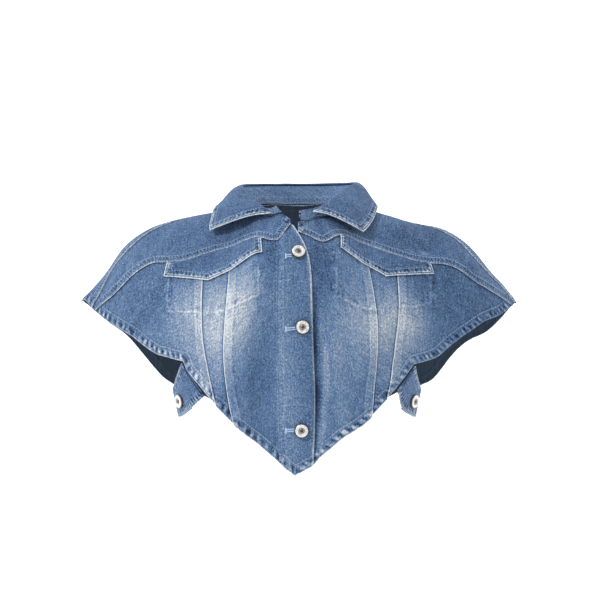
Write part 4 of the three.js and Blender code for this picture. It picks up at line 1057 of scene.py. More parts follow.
def add_collar_stand():
    foot, roll = neck_seam(), SpaceCurve(ROLL)
    share = curve_shares(foot, STAND_END_LINES)
    low = foot.at(share)
    on_roll = mix(STAND_REACH_IN, 1 - STAND_REACH_IN, share)
    to_end = np.maximum(np.maximum(1 - share / STAND_END_SHARE, 1 - (1 - share) / STAND_END_SHARE), 0)
    near_end = smooth_step(STAND_EASE_SHARE, 0, np.minimum(share, 1 - share))
    inwards = mix(STAND_TOP_IN["back"], STAND_TOP_IN["front"], near_end)
    high = roll.at(on_roll) - away_from_neck(roll, on_roll) * inwards[:, None]
    high[:, 2] -= STAND_TOP_DROP
    end = np.where(share[:, None] < 0.5, STAND_END["right"]["top"], STAND_END["left"]["top"])
    high = mix(high, end, smooth_step(0, 1, to_end)[:, None])
    way = shares(STAND_DOWN)
    points = mix(high[:, None], low[:, None], way[None, :, None])
    PANELS["collar_stand"] = Ribbon(
        "collar_stand", points, {"first": "root", "last": "root", "top": "root", "bottom": ("over", 0.3)},
        DOUBLE_CLOTH / 2, DOUBLE_CLOTH, "folded", ("front_yoke_right", "front_yoke_left", "back_yoke"), 5.4,
        fade=0.07)


def tab_edges(side):
    sign = -1 if side == "right" else 1
    turn = np.array([sign, 1, 1])
    front, back = HEM[side]["side"], BACK_HEM[side]["side"]

    def place(row):
        return folded_cloth(np.array([float(row[0])]), np.array([float(row[1])]))[0]

    upper = SpaceCurve([place(front[0]), *(np.array(TAB_UPPER) * turn), place(back[0])])
    lower = SpaceCurve([place(front[-1]), *(np.array(TAB_LOWER) * turn), place(back[-1])])
    return upper, lower


def tab_grid(side, start, end):
    upper, lower = tab_edges(side)
    run = lengths(upper.at(np.linspace(start, end, TAB_SAMPLES)))[-1]
    share = mix(start, end, shares(run))
    if side == "right":
        share = share[::-1]
    return mix(upper.at(share)[:, None], lower.at(share)[:, None], shares(TAB_DOWN)[None, :, None])


TAB_CREASES = ((30, 14, 10, 14, 4, 0.5), (48, 20, -16, 14, 5, -0.5))


def add_tabs(side):
    root, free = ("last", "first") if side == "right" else ("first", "last")
    roles = {root: "under", free: ("hem", 0.6), "top": ("hem", 0.6), "bottom": ("hem", 0.6)}
    PANELS[f"front_tab_{side}"] = Ribbon(
        f"front_tab_{side}", tab_grid(side, *FRONT_TAB), roles, DOUBLE_CLOTH, DOUBLE_CLOTH, "hung",
        (f"front_side_{side}", f"back_tab_{side}"), TAB_HEM_PERIOD, TAB_CREASES, fade=-0.04)
    roles = {free: "under", root: ("hem", 0.6), "top": ("hem", 0.6), "bottom": ("hem", 0.6)}
    PANELS[f"back_tab_{side}"] = Ribbon(
        f"back_tab_{side}", tab_grid(side, *BACK_TAB), roles, -TAB_LAYER_GAP, DOUBLE_CLOTH, "hung",
        (f"back_side_{side}",), TAB_HEM_PERIOD, TAB_CREASES)


# Sewing

# One stitch: how much of the pitch it fills, its height, how far it stands up and how far it looks ahead
STITCH = {"fill": 0.38, "height": 0.26, "lift": 0.22, "ahead": 0.8}


class Sewing:
    """Collects thread stitches and makes them one object."""

    def __init__(self, name, thread="thread"):
        self.name = name
        self.thread = thread
        self.rows = []
        self.form = bmesh.new()

    def stitch(self, spot, along, normal, lift, half_sizes):
        """One stitch over a spot, with its half length, width and height in millimetres."""
        centre = (Vector(spot) + normal * lift) * MM
        side = normal.cross(along).normalized()
        along = side.cross(normal).normalized()
        turn = Matrix((along, side, normal)).transposed().to_4x4()
        size = Matrix.Diagonal((*(half * MM for half in half_sizes), 1))
        place = Matrix.Translation(centre) @ turn @ size
        bmesh.ops.create_uvsphere(self.form, u_segments=6, v_segments=4, radius=1, matrix=place)

    def end_row(self):
        """Puts a finished row aside, since adding to one large form grows slow."""
        row = bpy.data.meshes.new(self.name)
        self.form.to_mesh(row)
        self.rows.append(row)
        self.form.clear()

    def along(self, points, normals, settings):
        """A row of stitches along a line of points, in millimetres."""
        pitch = settings.stitch_pitch / MM
        half_sizes = (STITCH["fill"] * pitch, settings.thread_width / MM / 2, STITCH["height"])
        travelled = lengths(points)
        if travelled[-1] < pitch:
            return
        number = int(travelled[-1] / pitch)
        at = (np.arange(number) + 0.5) * travelled[-1] / number

        def beside(values, offset=0.0):
            return np.stack([np.interp(at + offset, travelled, values[:, k]) for k in range(3)], -1)

        ways = beside(points, STITCH["ahead"]) - beside(points, -STITCH["ahead"])
        for spot, way, normal in zip(beside(points), ways, beside(normals)):
            self.stitch(
                spot, Vector(way).normalized(), Vector(normal).normalized(), STITCH["lift"], half_sizes)
        self.end_row()

    def finish(self):
        mesh = bpy.data.meshes.new(self.name)
        self.end_row()
        for row in self.rows:
            self.form.from_mesh(row)
            bpy.data.meshes.remove(row)
        for face in self.form.faces:
            face.smooth = True
        self.form.to_mesh(mesh)
        self.form.free()
        piece = add_object(self.name, mesh, material(self.thread))
        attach(piece, "root")


# A run of stitches stops where another edge is nearer than this share of its distance
NEAR_OTHER = 0.92
SHORTEST_RUN = 3


def level_line(piece, side, level):
    """Runs of points on a piece where the distance from one of its edges has a value."""
    field = piece.sides[side]
    points, normals = piece.points, piece.normals
    others = [piece.sides[key] for key in piece.sides if key != side]
    stop = np.minimum.reduce(others) if others else np.full(field.shape, FAR)
    if side in ("first", "last"):
        field, stop = field.T, stop.T
        points, normals = points.transpose(1, 0, 2), normals.transpose(1, 0, 2)
    if side in ("bottom", "last"):
        field, stop = field[:, ::-1], stop[:, ::-1]
        points, normals = points[:, ::-1], normals[:, ::-1]
    above = field >= level
    found = above.any(1) & ~above[:, 0]
    k = np.maximum(above.argmax(1), 1)
    i = np.arange(len(field))
    low, high = field[i, k - 1], field[i, k]
    t = np.clip((level - low) / np.maximum(high - low, 1e-6), 0, 1)[:, None]
    spots = mix(points[i, k - 1], points[i, k], t)
    facing = mix(normals[i, k - 1], normals[i, k], t)
    keep = found & (stop[i, k] >= level * NEAR_OTHER)
    runs, start = [], None
    for n in range(len(keep) + 1):
        if n < len(keep) and keep[n]:
            start = n if start is None else start
        elif start is not None:
            if n - start > SHORTEST_RUN:
                runs.append((spots[start:n], facing[start:n]))
            start = None
    return runs


# Rows of {object, piece, edges, distances}: where the stitches run. A piece with a side is named once.
LAPPED = (2.0, 7.6)
TURNED = (2.4, 8.0)
HEMMED = (HEM_WIDTH,)
EDGED = (2.4,)
STITCH_ROWS = (
    ("front", "front_yoke_SIDE", ("bottom",), LAPPED),
    ("front", "front_centre_SIDE", ("bottom",), HEMMED),
    ("front", "front_middle_SIDE", ("bottom",), HEMMED),
    ("front", "front_side_SIDE", ("bottom",), HEMMED),
    ("front", "front_placket", ("bottom",), HEMMED),
    ("flaps", "pocket_flap_SIDE", ("bottom", "first", "last"), TURNED),
    ("back", "back_side_SIDE", ("top",), HEMMED),
    ("back", "back_yoke", ("top", "bottom"), LAPPED),
    ("back", "back_centre", ("top",), HEMMED),
    ("back", "back_centre", ("first", "last"), LAPPED),
    ("collar", "collar_leaf", ("bottom", "first", "last"), TURNED),
    ("collar", "collar_stand", ("bottom",), (2.0,)),
    ("tabs", "front_tab_SIDE", ("top", "bottom", "free"), EDGED),
    ("tabs", "back_tab_SIDE", ("top", "bottom"), EDGED),
)


def stitch_lines():
    """Every line that is stitched: object, piece, edge and distance."""
    for group, name, edges, levels in STITCH_ROWS:
        for side in SIDES if "SIDE" in name else SIDES[:1]:
            free = "first" if side == "right" else "last"
            for edge in edges:
                for level in levels:
                    yield group, name.replace("SIDE", side), free if edge == "free" else edge, level


# Buttons

# Rows of {radius, height} of a button's outline from the post to the middle of its face, in millimetres
BUTTON_OUTLINE = (
    (0.0, 0.0), (3.0, 0.0), (3.0, 1.2), (7.6, 1.2), (8.15, 1.45), (8.4, 2.0), (8.3, 2.5), (7.95, 2.9),
    (7.5, 3.15), (7.15, 3.3), (6.85, 3.7), (6.5, 3.88), (5.8, 3.92), (4.9, 3.88), (4.2, 3.75), (3.75, 3.4),
    (3.5, 2.9), (3.2, 2.75), (2.4, 2.75), (2.0, 2.9), (1.8, 3.2), (1.2, 3.5), (0.6, 3.6), (0.0, 3.62),
)
# Radii of ring and nub, and heights over which a face belongs to the ring or the recess
RING_ZONE = (3.8, 7.3)
NUB_ZONE = 1.5
RING_ABOVE = 3
RECESS_ABOVE = 2.4
BUTTON_SIDES = 48


def add_button(name, node, foot, normal):
    form = bmesh.new()
    outline = [form.verts.new((radius * MM, 0, up * MM)) for radius, up in BUTTON_OUTLINE]
    edges = [form.edges.new(pair) for pair in zip(outline, outline[1:])]
    bmesh.ops.spin(form, geom=outline + edges, axis=(0, 0, 1), cent=(0, 0, 0), angle=2 * math.pi,
                   steps=BUTTON_SIDES, use_merge=True, use_duplicate=False)
    bmesh.ops.remove_doubles(form, verts=form.verts, dist=1e-6)
    bmesh.ops.recalc_face_normals(form, faces=form.faces)
    for face in form.faces:
        face.smooth = True
        centre = face.calc_center_median()
        radius = math.hypot(centre.x, centre.y) / MM
        on_ring = RING_ZONE[0] < radius < RING_ZONE[1] and centre.z > RING_ABOVE * MM
        in_recess = NUB_ZONE < radius < RING_ZONE[0] and centre.z > RECESS_ABOVE * MM
        face.material_index = 0 if on_ring else 2 if in_recess else 1
    turn = Vector((0, 0, 1)).rotation_difference(Vector(normal)).to_matrix().to_4x4()
    place = Matrix.Translation(Vector(foot) * MM) @ turn
    bmesh.ops.transform(form, matrix=place, verts=form.verts)
    mesh = bpy.data.meshes.new(name)
    form.to_mesh(mesh)
    form.free()
    piece = add_object(name, mesh, material("ring_metal"), material("dark_metal"), material("recess_metal"))
    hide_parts(node)
    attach(piece, "root")


def placket_spot(x, s, lift):
    """A point over the plain placket and its normal."""
    x, s = np.array([float(x)]), np.array([float(s)])
    normal = surface_normal(folded_cloth, x, s)[0]
    return folded_cloth(x, s)[0] + normal * lift, normal


# Materials

class Number:
    """A number socket that takes part in Python expressions."""

    def __init__(self, finish, socket):
        self.finish = finish
        self.socket = socket

    def math(self, operation, *others):
        return self.finish.node("ShaderNodeMath", {"operation": operation}, dict(enumerate((self, *others))))

    def __add__(self, other):
        return self.math("ADD", other)

    __radd__ = __add__

    def __sub__(self, other):
        return self.math("SUBTRACT", other)

    def __rsub__(self, other):
        return self.finish.node("ShaderNodeMath", {"operation": "SUBTRACT"}, {0: other, 1: self})

    def __mul__(self, other):
        return self.math("MULTIPLY", other)

    __rmul__ = __mul__

    def __truediv__(self, other):
        return self.math("DIVIDE", other)

    def sine(self):
        return self.math("SINE")

    def within_one(self):
        """The value, kept between 0 and 1."""
        return self.math("MAXIMUM", 0.0).math("MINIMUM", 1.0)

    def bell(self, centre, width):
        """A soft bell round a value."""
        part = (self - centre) / width
        return (part * part * -1).math("EXPONENT")

    def below(self, low, high):
        """1 under low, 0 over high, smooth between."""
        return self.finish.node(
            "ShaderNodeMapRange", {"interpolation_type": "SMOOTHSTEP"},
            {"Value": self, "From Min": low, "From Max": high, "To Min": 1.0, "To Max": 0.0})


class Finish:
    """A material being made: its tree, and one way to add any node."""

    def __init__(self, name, colour):
        self.material = bpy.data.materials.new(name)
        self.material.use_nodes = True
        self.material.diffuse_color = (*colour, 1)
        self.tree = self.material.node_tree
        self.shader = self.tree.nodes["Principled BSDF"]

    def node(self, kind, settings=None, sockets=None, output=0):
        node = self.tree.nodes.new(kind)
        for key, value in (settings or {}).items():
            if key == "stops":
                self.set_stops(node.color_ramp, value)
            else:
                setattr(node, key, value)
        for key, value in (sockets or {}).items():
            self.feed(node.inputs[key], value)
        return Number(self, node.outputs[output])

    @staticmethod
    def set_stops(ramp, stops):
        while len(ramp.elements) < len(stops):
            ramp.elements.new(0.5)
        for element, (position, colour) in zip(ramp.elements, stops):
            element.position = position
            element.color = (*colour, 1)

    def feed(self, socket, value):
        if isinstance(value, Number):
            self.tree.links.new(value.socket, socket)
        else:
            socket.default_value = value

    def attribute(self, name):
        return self.node("ShaderNodeAttribute", {"attribute_name": name}, output="Fac")

    def noise(self, place, scale, detail=2.0, roughness=0.5):
        """Noise about 0, from a place times a scale for each axis."""
        stretched = self.node("ShaderNodeVectorMath", {"operation": "MULTIPLY"}, {0: place, 1: scale})
        value = self.node("ShaderNodeTexNoise", {"noise_dimensions": "3D"},
                          {"Vector": stretched, "Scale": 1.0, "Detail": detail, "Roughness": roughness})
        return value - 0.5

    def shades(self, share, dark, light):
        """A colour between a dark and a light one."""
        sockets = {0: share, 6: (*dark, 1), 7: (*light, 1)}
        return self.node("ShaderNodeMix", {"data_type": "RGBA"}, sockets, output=2)

    def raised(self, height):
        """The normal of a surface with a height in millimetres."""
        return self.node("ShaderNodeBump", {}, {"Strength": 1.0, "Distance": MM, "Height": height})

    def surface(self, **sockets):
        for key, value in sockets.items():
            self.feed(self.shader.inputs[key.replace("_", " ")], value)
        return self.material


# Rows of {wear, colour}: unwashed to worn white; the dark end also colours the painted shade and painted
# shadow
WEAR_STOPS = (
    (0.0, (0.008, 0.017, 0.042)), (0.20, (0.029, 0.060, 0.128)), (0.36, (0.060, 0.119, 0.236)),
    (0.50, (0.103, 0.174, 0.298)), (0.58, (0.145, 0.213, 0.328)), (0.68, (0.217, 0.279, 0.378)),
    (0.78, (0.295, 0.342, 0.412)), (1.0, (0.570, 0.600, 0.630)),
)


# Rows of {scale across, down and through, detail, roughness}: unevenness of the washed cloth
CLOTH_NOISES = {
    "cloud": ((30, 22, 0), 3.0, 0.55),
    "blotch": ((150, 120, 0), 2.0, 0.5),
    "streak": ((640, 50, 0), 3.0, 0.6),
    "mottle": ((560, 430, 0), 2.0, 0.6),
    "speck": ((1050, 900, 0), 2.0, 0.6),
    "wobble": ((90, 90, 0), 2.0, 0.5),
    "rag": ((300, 300, 0), 2.0, 0.6),
}
EDGE_ATTRIBUTES = (*FIELDS, "hem_turn", "hem_worn", "over_turn", "over_worn", "fade", "crest")
# How much each part counts in the wear, which also carries painted shade, and in the height of the cloth
WEAR_SHARES = {
    "fade": 1.0, "cloud": 0.24, "blotch": 0.28, "streak": 0.36, "mottle": 1.0, "speck": 0.75, "crest": 0.03,
}
HEIGHT_SHARES = {"twill": 0.06, "mottle": 0.30, "speck": 0.20, "streak": 0.14, "blotch": 0.5}
# Rows of {edge, distance, width, wear, wear by parts, mask}: pale and dark lines beside the edges; the two
# under rows are painted shadow on the lower piece where an edge laps over it
WEAR_AND_SHADOW_LINES = (
    ("hem", 0.6, 0.95, 0.66, {"rag": 0.6}, "hem_worn"),
    ("hem", 2.0, 0.45, -0.34, {}, "worn_twice"),
    ("hem", 3.2, 0.7, 0.50, {"rag": 0.4}, "worn_twice"),
    ("hem", 4.8, 3.2, 0, {"rope": 1.0}, "patches"),
    ("hem", 4.8, 3.2, 0, {"rag": 0.5}, "worn_twice"),
    ("hem", 4.8, 3.2, 0, {"blotch": 1.0}, None),
    ("hem", HEM_WIDTH, 0.55, 0.55, {}, "patches"),
    ("hem", HEM_WIDTH + 1.4, 0.9, -0.06, {}, None),
    ("over", 0.5, 0.8, 0.46, {"rag": 0.6}, "over_worn"),
    ("over", 2.0, 0.6, -0.08, {}, None),
    ("over", 5.6, 2.0, 0, {"seam_rope": 0.15}, "over_worn"),
    ("over", 5.6, 2.0, 0, {"rag": 0.6}, None),
    ("over", 8.2, 1.2, 0.07, {}, None),
    ("tuck", 0.4, 0.7, 0.46, {"rag": 0.5}, None),
    ("tuck", 9.3, 0.7, 0.05, {}, None),
    ("tuck", 11.2, 1.1, -0.06, {}, None),
    ("crisp", 0.7, 1.25, 0.50, {"rag": 0.5}, None),
    ("crisp", 2.8, 1.4, 0.05, {}, None),
    # Painted shadow just past the lapping edge, on the piece underneath
    ("under", 1.8, 0.75, -0.38, {}, None),
    ("under", 3.4, 1.6, -0.06, {}, None),
    ("pocket", 0, 1.0, 0.20, {"rag": 1.0}, None),
    ("pocket", 3.6, 2.6, -0.03, {"blotch": 0.6, "rag": 0.4}, None),
)
TUCK_BAND = {"from": 9.2, "to": 10.6, "wear_and_shade": 0.09}
# Rows of {edge, distance, width, height, height by parts, mask}: grooves and ropes beside the edges
HEIGHT_LINES = (
    ("hem", 2.4, 0.55, -0.20, {}, None),
    ("hem", HEM_WIDTH, 0.8, -0.20, {}, None),
    ("hem", 4.2, 2.4, 0, {"rope": 0.22}, None),
    ("over", 2.0, 0.6, -0.22, {}, None),
    ("over", 7.6, 0.7, -0.16, {}, None),
    ("over", 5.8, 2.2, 0, {"seam_rope": 0.20}, "over_worn"),
    ("pocket", 0, 1.0, 0.2, {}, None),
)
# Slant and raggedness of the roping in the shader, for each millimetre and for each unit of wobble
ROPE = {"slant": 0.35, "wobble": 7.0}
SEAM_ROPE = {"slant": 0.4, "wobble": 6.0}
# Patches of the roping grow with the hem's wear and fade again where it is worn all along
PATCHES = {"worn": 1.1, "worn_twice": 0.92}
TWILL = {"lean": 63, "spacing": 0.0072, "distortion": 1.2, "detail": 1.0, "detail_scale": 3.0}
ROUGH = {"plain": 0.9, "worn": 0.08, "inside": 0.93, "thread": 0.75, "floor": 0.9}


def weighted(parts, shares_of, start):
    """A start value and some parts, each times its share, added up."""
    total = start
    for name, share in shares_of.items():
        total = parts[name] * share + total
    return total


def beside_edges(parts, rows, total):
    """A value with the soft lines beside the edges added."""
    for edge, distance, width, amount, by_parts, mask in rows:
        line = parts[edge].bell(distance, width) * weighted(parts, by_parts, amount)
        total = total + (line * parts[mask] if mask else line)
    return total


def make_denim(settings):
    finish = Finish("washed_denim", settings.denim_colour)
    place = finish.node("ShaderNodeUVMap", {"uv_map": "cloth"})
    parts = {name: finish.attribute(name) for name in EDGE_ATTRIBUTES}
    parts.update({name: finish.noise(place, *row) for name, row in CLOTH_NOISES.items()})
    for rope, edge, form in (("rope", "hem", ROPE), ("seam_rope", "over", SEAM_ROPE)):
        turn = parts[f"{edge}_turn"] * (2 * math.pi)
        parts[rope] = (turn + parts[edge] * form["slant"] + parts["wobble"] * form["wobble"]).sine()
    parts["worn_twice"] = parts["hem_worn"] * parts["hem_worn"]
    parts["patches"] = parts["hem_worn"] * PATCHES["worn"] - parts["worn_twice"] * PATCHES["worn_twice"]
    # The wear of the washed cloth, with the painted shade beside the placket and the painted shadow beside
    # lapped edges added in
    wear_and_shade = beside_edges(parts, WEAR_AND_SHADOW_LINES, weighted(parts, WEAR_SHARES, settings.wash))
    wear_and_shade = wear_and_shade + parts["tuck"].below(TUCK_BAND["from"], TUCK_BAND["to"]) * TUCK_BAND["wear_and_shade"]
    colour = finish.node("ShaderNodeValToRGB", {"stops": WEAR_STOPS}, {0: wear_and_shade})

    turned = finish.node(
        "ShaderNodeMapping", {}, {"Vector": place, "Rotation": (0, 0, math.radians(TWILL["lean"]))})
    parts["twill"] = finish.node(
        "ShaderNodeTexWave", {"wave_type": "BANDS", "bands_direction": "X"},
        {"Vector": turned, "Scale": 1 / TWILL["spacing"], "Distortion": TWILL["distortion"],
         "Detail": TWILL["detail"], "Detail Scale": TWILL["detail_scale"]}, output="Fac")
    height = beside_edges(parts, HEIGHT_LINES, weighted(parts, HEIGHT_SHARES, 0.0))
    return finish.surface(
        Base_Color=colour, Roughness=ROUGH["plain"] - wear_and_shade * ROUGH["worn"], Normal=finish.raised(height),
        Specular_IOR_Level=0.18, Sheen_Weight=0.05, Sheen_Roughness=0.6)


# The wrong side of the denim, coloured darker than the real cloth: painted shade inside the hollow vest
def make_shaded_inside(settings):
    finish = Finish("denim_wrong_side_shaded", settings.shaded_inside_colour)
    place = finish.node("ShaderNodeUVMap", {"uv_map": "cloth"})
    hem = finish.attribute("hem")
    streak = finish.noise(place, (620, 45, 0), 3.0, 0.6)
    mottle = finish.noise(place, (500, 420, 0), 3.0, 0.65)
    share = 0.5 + streak * 1.2 + mottle * 1.1
    share = share - hem.bell(HEM_WIDTH, 0.9) * 0.3 + hem.bell(HEM_WIDTH - 3, 2) * 0.08
    dark = [channel * 0.55 for channel in settings.shaded_inside_colour]
    light = [min(1.0, channel * 1.5) for channel in settings.shaded_inside_colour]
    return finish.surface(
        Base_Color=finish.shades(share.within_one(), dark, light), Roughness=ROUGH["inside"],
        Normal=finish.raised(mottle * 0.3), Specular_IOR_Level=0.15)


def make_thread(name, thread_colour):
    finish = Finish(name, thread_colour)
    place = finish.node("ShaderNodeTexCoord", output="Object")
    tone = finish.noise(place, (260, 260, 260), 2.0, 0.5)
    twist = finish.noise(place, (2600, 2600, 2600), 1.0, 0.5)
    dark = [channel * 0.5 for channel in thread_colour]
    share = (0.62 + tone * 1.6 + twist * 0.6).within_one()
    return finish.surface(Base_Color=finish.shades(share, dark, thread_colour), Roughness=ROUGH["thread"])


def make_metal(name, colour, roughness, grain, metallic):
    finish = Finish(name, colour)
    place = finish.node("ShaderNodeTexCoord", output="Object")
    cast = finish.noise(place, (900, 900, 900), 2.0, 0.6)
    fine = finish.noise(place, (3200, 3200, 3200), 1.0, 0.5)
    dark = [channel * 0.42 for channel in colour]
    tone = finish.shades((0.68 + cast * grain).within_one(), dark, colour)
    return finish.surface(
        Base_Color=tone, Roughness=roughness + cast * 0.3, Normal=finish.raised(cast * 0.12 + fine * 0.05),
        Metallic=metallic)


def make_floor(settings):
    finish = Finish("studio_floor", settings.floor_colour)
    place = finish.node("ShaderNodeTexCoord", output="Object")
    tone = finish.noise(place, (3, 3, 3), 2.0, 0.5)
    colour = finish.shades(0.5 + tone * 0.2, (0.93, 0.93, 0.93), (0.97, 0.97, 0.97))
    return finish.surface(Base_Color=colour, Roughness=ROUGH["floor"])


# Settings that a user would change

class VestSettings(bpy.types.PropertyGroup):
    wash: FloatProperty(
        name="Wash", description="How far the denim is washed out, from dark to white", default=0.37,
        min=0, max=1, subtype="FACTOR")
    denim_colour: FloatVectorProperty(
        name="Denim", description="Colour of the denim in the viewport", default=(0.11, 0.18, 0.31),
        size=3, min=0, max=1, subtype="COLOR")
    # Darker than the real wrong side: this colour holds painted shade for the inside of the vest
    shaded_inside_colour: FloatVectorProperty(
        name="Wrong side", description="Colour of the inside of the cloth", default=(0.04, 0.059, 0.09),
        size=3, min=0, max=1, subtype="COLOR")


class SewingSettings(bpy.types.PropertyGroup):
    stitch_pitch: FloatProperty(
        name="Stitch pitch", description="Distance from stitch to stitch", default=0.0031,
        min=0.001, max=0.01, unit="LENGTH")
    thread_width: FloatProperty(
        name="Thread width", description="Thickness of the sewing thread", default=0.0009,
        min=0.0002, max=0.002, unit="LENGTH")
    thread_colour: FloatVectorProperty(
        name="Thread", description="Colour of the sewing thread", default=(0.37, 0.49, 0.66),
        size=3, min=0, max=1, subtype="COLOR")
    buttonhole_colour: FloatVectorProperty(
        name="Buttonholes", description="Colour of the buttonhole thread", default=(0.46, 0.62, 0.88),
        size=3, min=0, max=1, subtype="COLOR")


class StudioSettings(bpy.types.PropertyGroup):
    floor_level: FloatProperty(
        name="Floor level", description="Height of the floor under the vest", default=-0.62, unit="LENGTH")
    camera_distance: FloatProperty(
        name="Camera distance", description="From the camera to the middle of the vest", default=2.6, min=0.5,
        unit="LENGTH")
    view_width: FloatProperty(
        name="View width", description="Width of the picture at the middle of the vest", default=0.702,
        min=0.1, unit="LENGTH")
    floor_colour: FloatVectorProperty(
        name="Floor", description="Colour of the floor in the viewport", default=(0.9, 0.9, 0.9),
        size=3, min=0, max=1, subtype="COLOR")


# Operators

class VEST_OT_materials(bpy.types.Operator):
    """Make the denim, thread and button finishes"""
    bl_idname = "vest.materials"
    bl_label = "Materials"

    def execute(self, context):
        cloth = context.scene.vest
        MATERIALS["denim"] = make_denim(cloth)
        MATERIALS["denim_inside_shaded"] = make_shaded_inside(cloth)
        sewing = context.scene.vest_sewing
        MATERIALS["thread"] = make_thread("pale_thread", sewing.thread_colour)
        MATERIALS["buttonhole_thread"] = make_thread("light_blue_thread", sewing.buttonhole_colour)
        MATERIALS["ring_metal"] = make_metal("ring_metal", (0.84, 0.83, 0.81), 0.42, 3.0, 0.5)
        MATERIALS["recess_metal"] = make_metal("recess_metal", (0.36, 0.36, 0.36), 0.3, 2.0, 0.7)
        MATERIALS["dark_metal"] = make_metal("dark_metal", (0.085, 0.083, 0.08), 0.34, 0.8, 0.8)
        return {"FINISHED"}


class VEST_OT_fronts(bpy.types.Operator):
    """Build the front panels and yokes of both sides"""
    bl_idname = "vest.fronts"
    bl_label = "Front panels and yokes"

    def execute(self, context):
        for side in SIDES:
            add_front(side)
        return {"FINISHED"}


class VEST_OT_back(bpy.types.Operator):
    """Build the back yoke and back panels"""
    bl_idname = "vest.back"
    bl_label = "Back"

    def execute(self, context):
        add_back()
        return {"FINISHED"}


class VEST_OT_closure(bpy.types.Operator):
    """Build the placket and the button stand under it"""
    bl_idname = "vest.closure"
    bl_label = "Placket and button stand"

    def execute(self, context):
        PANELS["front_placket"] = Panel(
            "front_placket", placket_places(),
            {"first": ("over", 0.15), "last": "crisp", "bottom": ("hem", 0.5), "top": "under"},
            face=UPPER_FACE - 0.2, cloth=DOUBLE_CLOTH, held="laid",
            rests_on=("front_centre_right", "button_stand"), dives=(("first", 0.95, 9.0), ("top", 0.2, 7.0)))
        PANELS["button_stand"] = Panel(
            "button_stand", stand_places(),
            {"first": None, "last": "root", "top": "under", "bottom": ("hem", 0.5)},
            rests_on=("front_centre_left",))
        return {"FINISHED"}


class VEST_OT_flaps(bpy.types.Operator):
    """Build the pocket flaps"""
    bl_idname = "vest.flaps"
    bl_label = "Pocket flaps"

    def execute(self, context):
        for side in SIDES:
            add_flap(side)
        return {"FINISHED"}


class VEST_OT_collar(bpy.types.Operator):
    """Build the collar leaf and its stand"""
    bl_idname = "vest.collar"
    bl_label = "Collar"

    def execute(self, context):
        add_collar_leaf()
        add_collar_stand()
        return {"FINISHED"}


class VEST_OT_tabs(bpy.types.Operator):
    """Build the button tabs round the sides"""
    bl_idname = "vest.tabs"
    bl_label = "Side tabs"

    def execute(self, context):
        for side in SIDES:
            add_tabs(side)
        return {"FINISHED"}


class VEST_OT_buttons(bpy.types.Operator):
    """Build the ring-top buttons of the placket and the tabs"""
    bl_idname = "vest.buttons"
    bl_label = "Buttons"

    def execute(self, context):
        for i, (x, s) in enumerate(PLACKET_BUTTONS, start=1):
            foot, normal = placket_spot(x, s, UPPER_FACE + BUTTON_SEAT)
            add_button(f"ring_button_{i}", f"placket_button_{i}", foot, normal)
        for side in SIDES:
            upper, lower = tab_edges(side)

            def at(along):
                share = np.array([along])
                return mix(upper.at(share)[0], lower.at(share)[0], TAB_BUTTON["down"])

            place, step = TAB_BUTTON["along"], TAB_BUTTON["step"]
            along = at(place + step) - at(place - step)
            down = lower.at(np.array([place]))[0] - upper.at(np.array([place]))[0]
            normal = np.cross(along, down)
            normal /= np.linalg.norm(normal)
            if normal[1] > 0:
                normal = -normal
            normal[1] -= TAB_BUTTON["tilt"]
            normal /= np.linalg.norm(normal)
            foot = at(place) + normal * (DOUBLE_CLOTH + TAB_BUTTON["lift"] + BUTTON_SEAT)
            add_button(f"ring_button_tab_{side}", f"tab_button_{side}", foot, normal)
        return {"FINISHED"}


class VEST_OT_sewing(bpy.types.Operator):
    """Sew the seams, hems and buttonholes"""
    bl_idname = "vest.sewing"
    bl_label = "Sewing"

    def execute(self, context):
        settings = context.scene.vest_sewing
        groups = {key: Sewing(f"stitches_{key}") for key in dict.fromkeys(row[0] for row in STITCH_ROWS)}
        for group, name, edge, level in stitch_lines():
            for points, normals in level_line(PANELS[name], edge, level):
                groups[group].along(points, normals, settings)
        for sewing in groups.values():
            sewing.finish()
        holes = Sewing("buttonholes", "buttonhole_thread")
        for (x, s), drop in zip(PLACKET_BUTTONS, BUTTONHOLE["drop"]):
            sew_buttonhole(holes, x, s + drop)
        holes.finish()
        return {"FINISHED"}


def sew_buttonhole(holes, x, s):
    """Dense stitches along both sides of the hole and a bar across its end."""
    step, end = BUTTONHOLE["step"], BUTTONHOLE["end"]
    for sign in (-1, 1):
        for at in np.arange(x - BUTTONHOLE["reach"], end, -step):
            spot, normal = placket_spot(at, s + sign * BUTTONHOLE["half"], UPPER_FACE)
            holes.stitch(
                spot, Vector((0, 0, 1)), Vector(normal), BUTTONHOLE["side_lift"], BUTTONHOLE["side_stitch"])
    for at in np.arange(-BUTTONHOLE["bar"], BUTTONHOLE["bar"] + step / 2, step):
        spot, normal = placket_spot(end, s + at, UPPER_FACE)
        holes.stitch(
            spot, Vector((1, 0, 0)), Vector(normal), BUTTONHOLE["bar_lift"], BUTTONHOLE["bar_stitch"])
    holes.end_row()


class VEST_OT_studio(bpy.types.Operator):
    """Set up the floor, the lights and the camera"""
    bl_idname = "vest.studio"
    bl_label = "Studio"

    def execute(self, context):
        settings = context.scene.vest_studio
        add_floor(settings)
        add_lights(context)
        add_camera(context, settings)
        return {"FINISHED"}


# Studio

FLOOR_HALF = 4.0
FLOOR_BACK = 1.4
FLOOR_BEND = 1.2
FLOOR_RISE = 3
FLOOR_STEPS = 16
MIDDLE = Vector((0.0035, 0.0, -0.100))
BACKDROP_AIM = Vector((0, 2.4, -0.2))
SKY_STRENGTH = 0.42
SENSOR_WIDTH = 36


def pulled(form, edges, way):
    """Extrudes edges along a way and returns the edges at its end."""
    made = bmesh.ops.extrude_edge_only(form, edges=edges)["geom"]
    verts = [part for part in made if isinstance(part, bmesh.types.BMVert)]
    bmesh.ops.translate(form, vec=way, verts=verts)
    made_edges = [part for part in made if isinstance(part, bmesh.types.BMEdge)]
    return [edge for edge in made_edges if all(vert in verts for vert in edge.verts)]


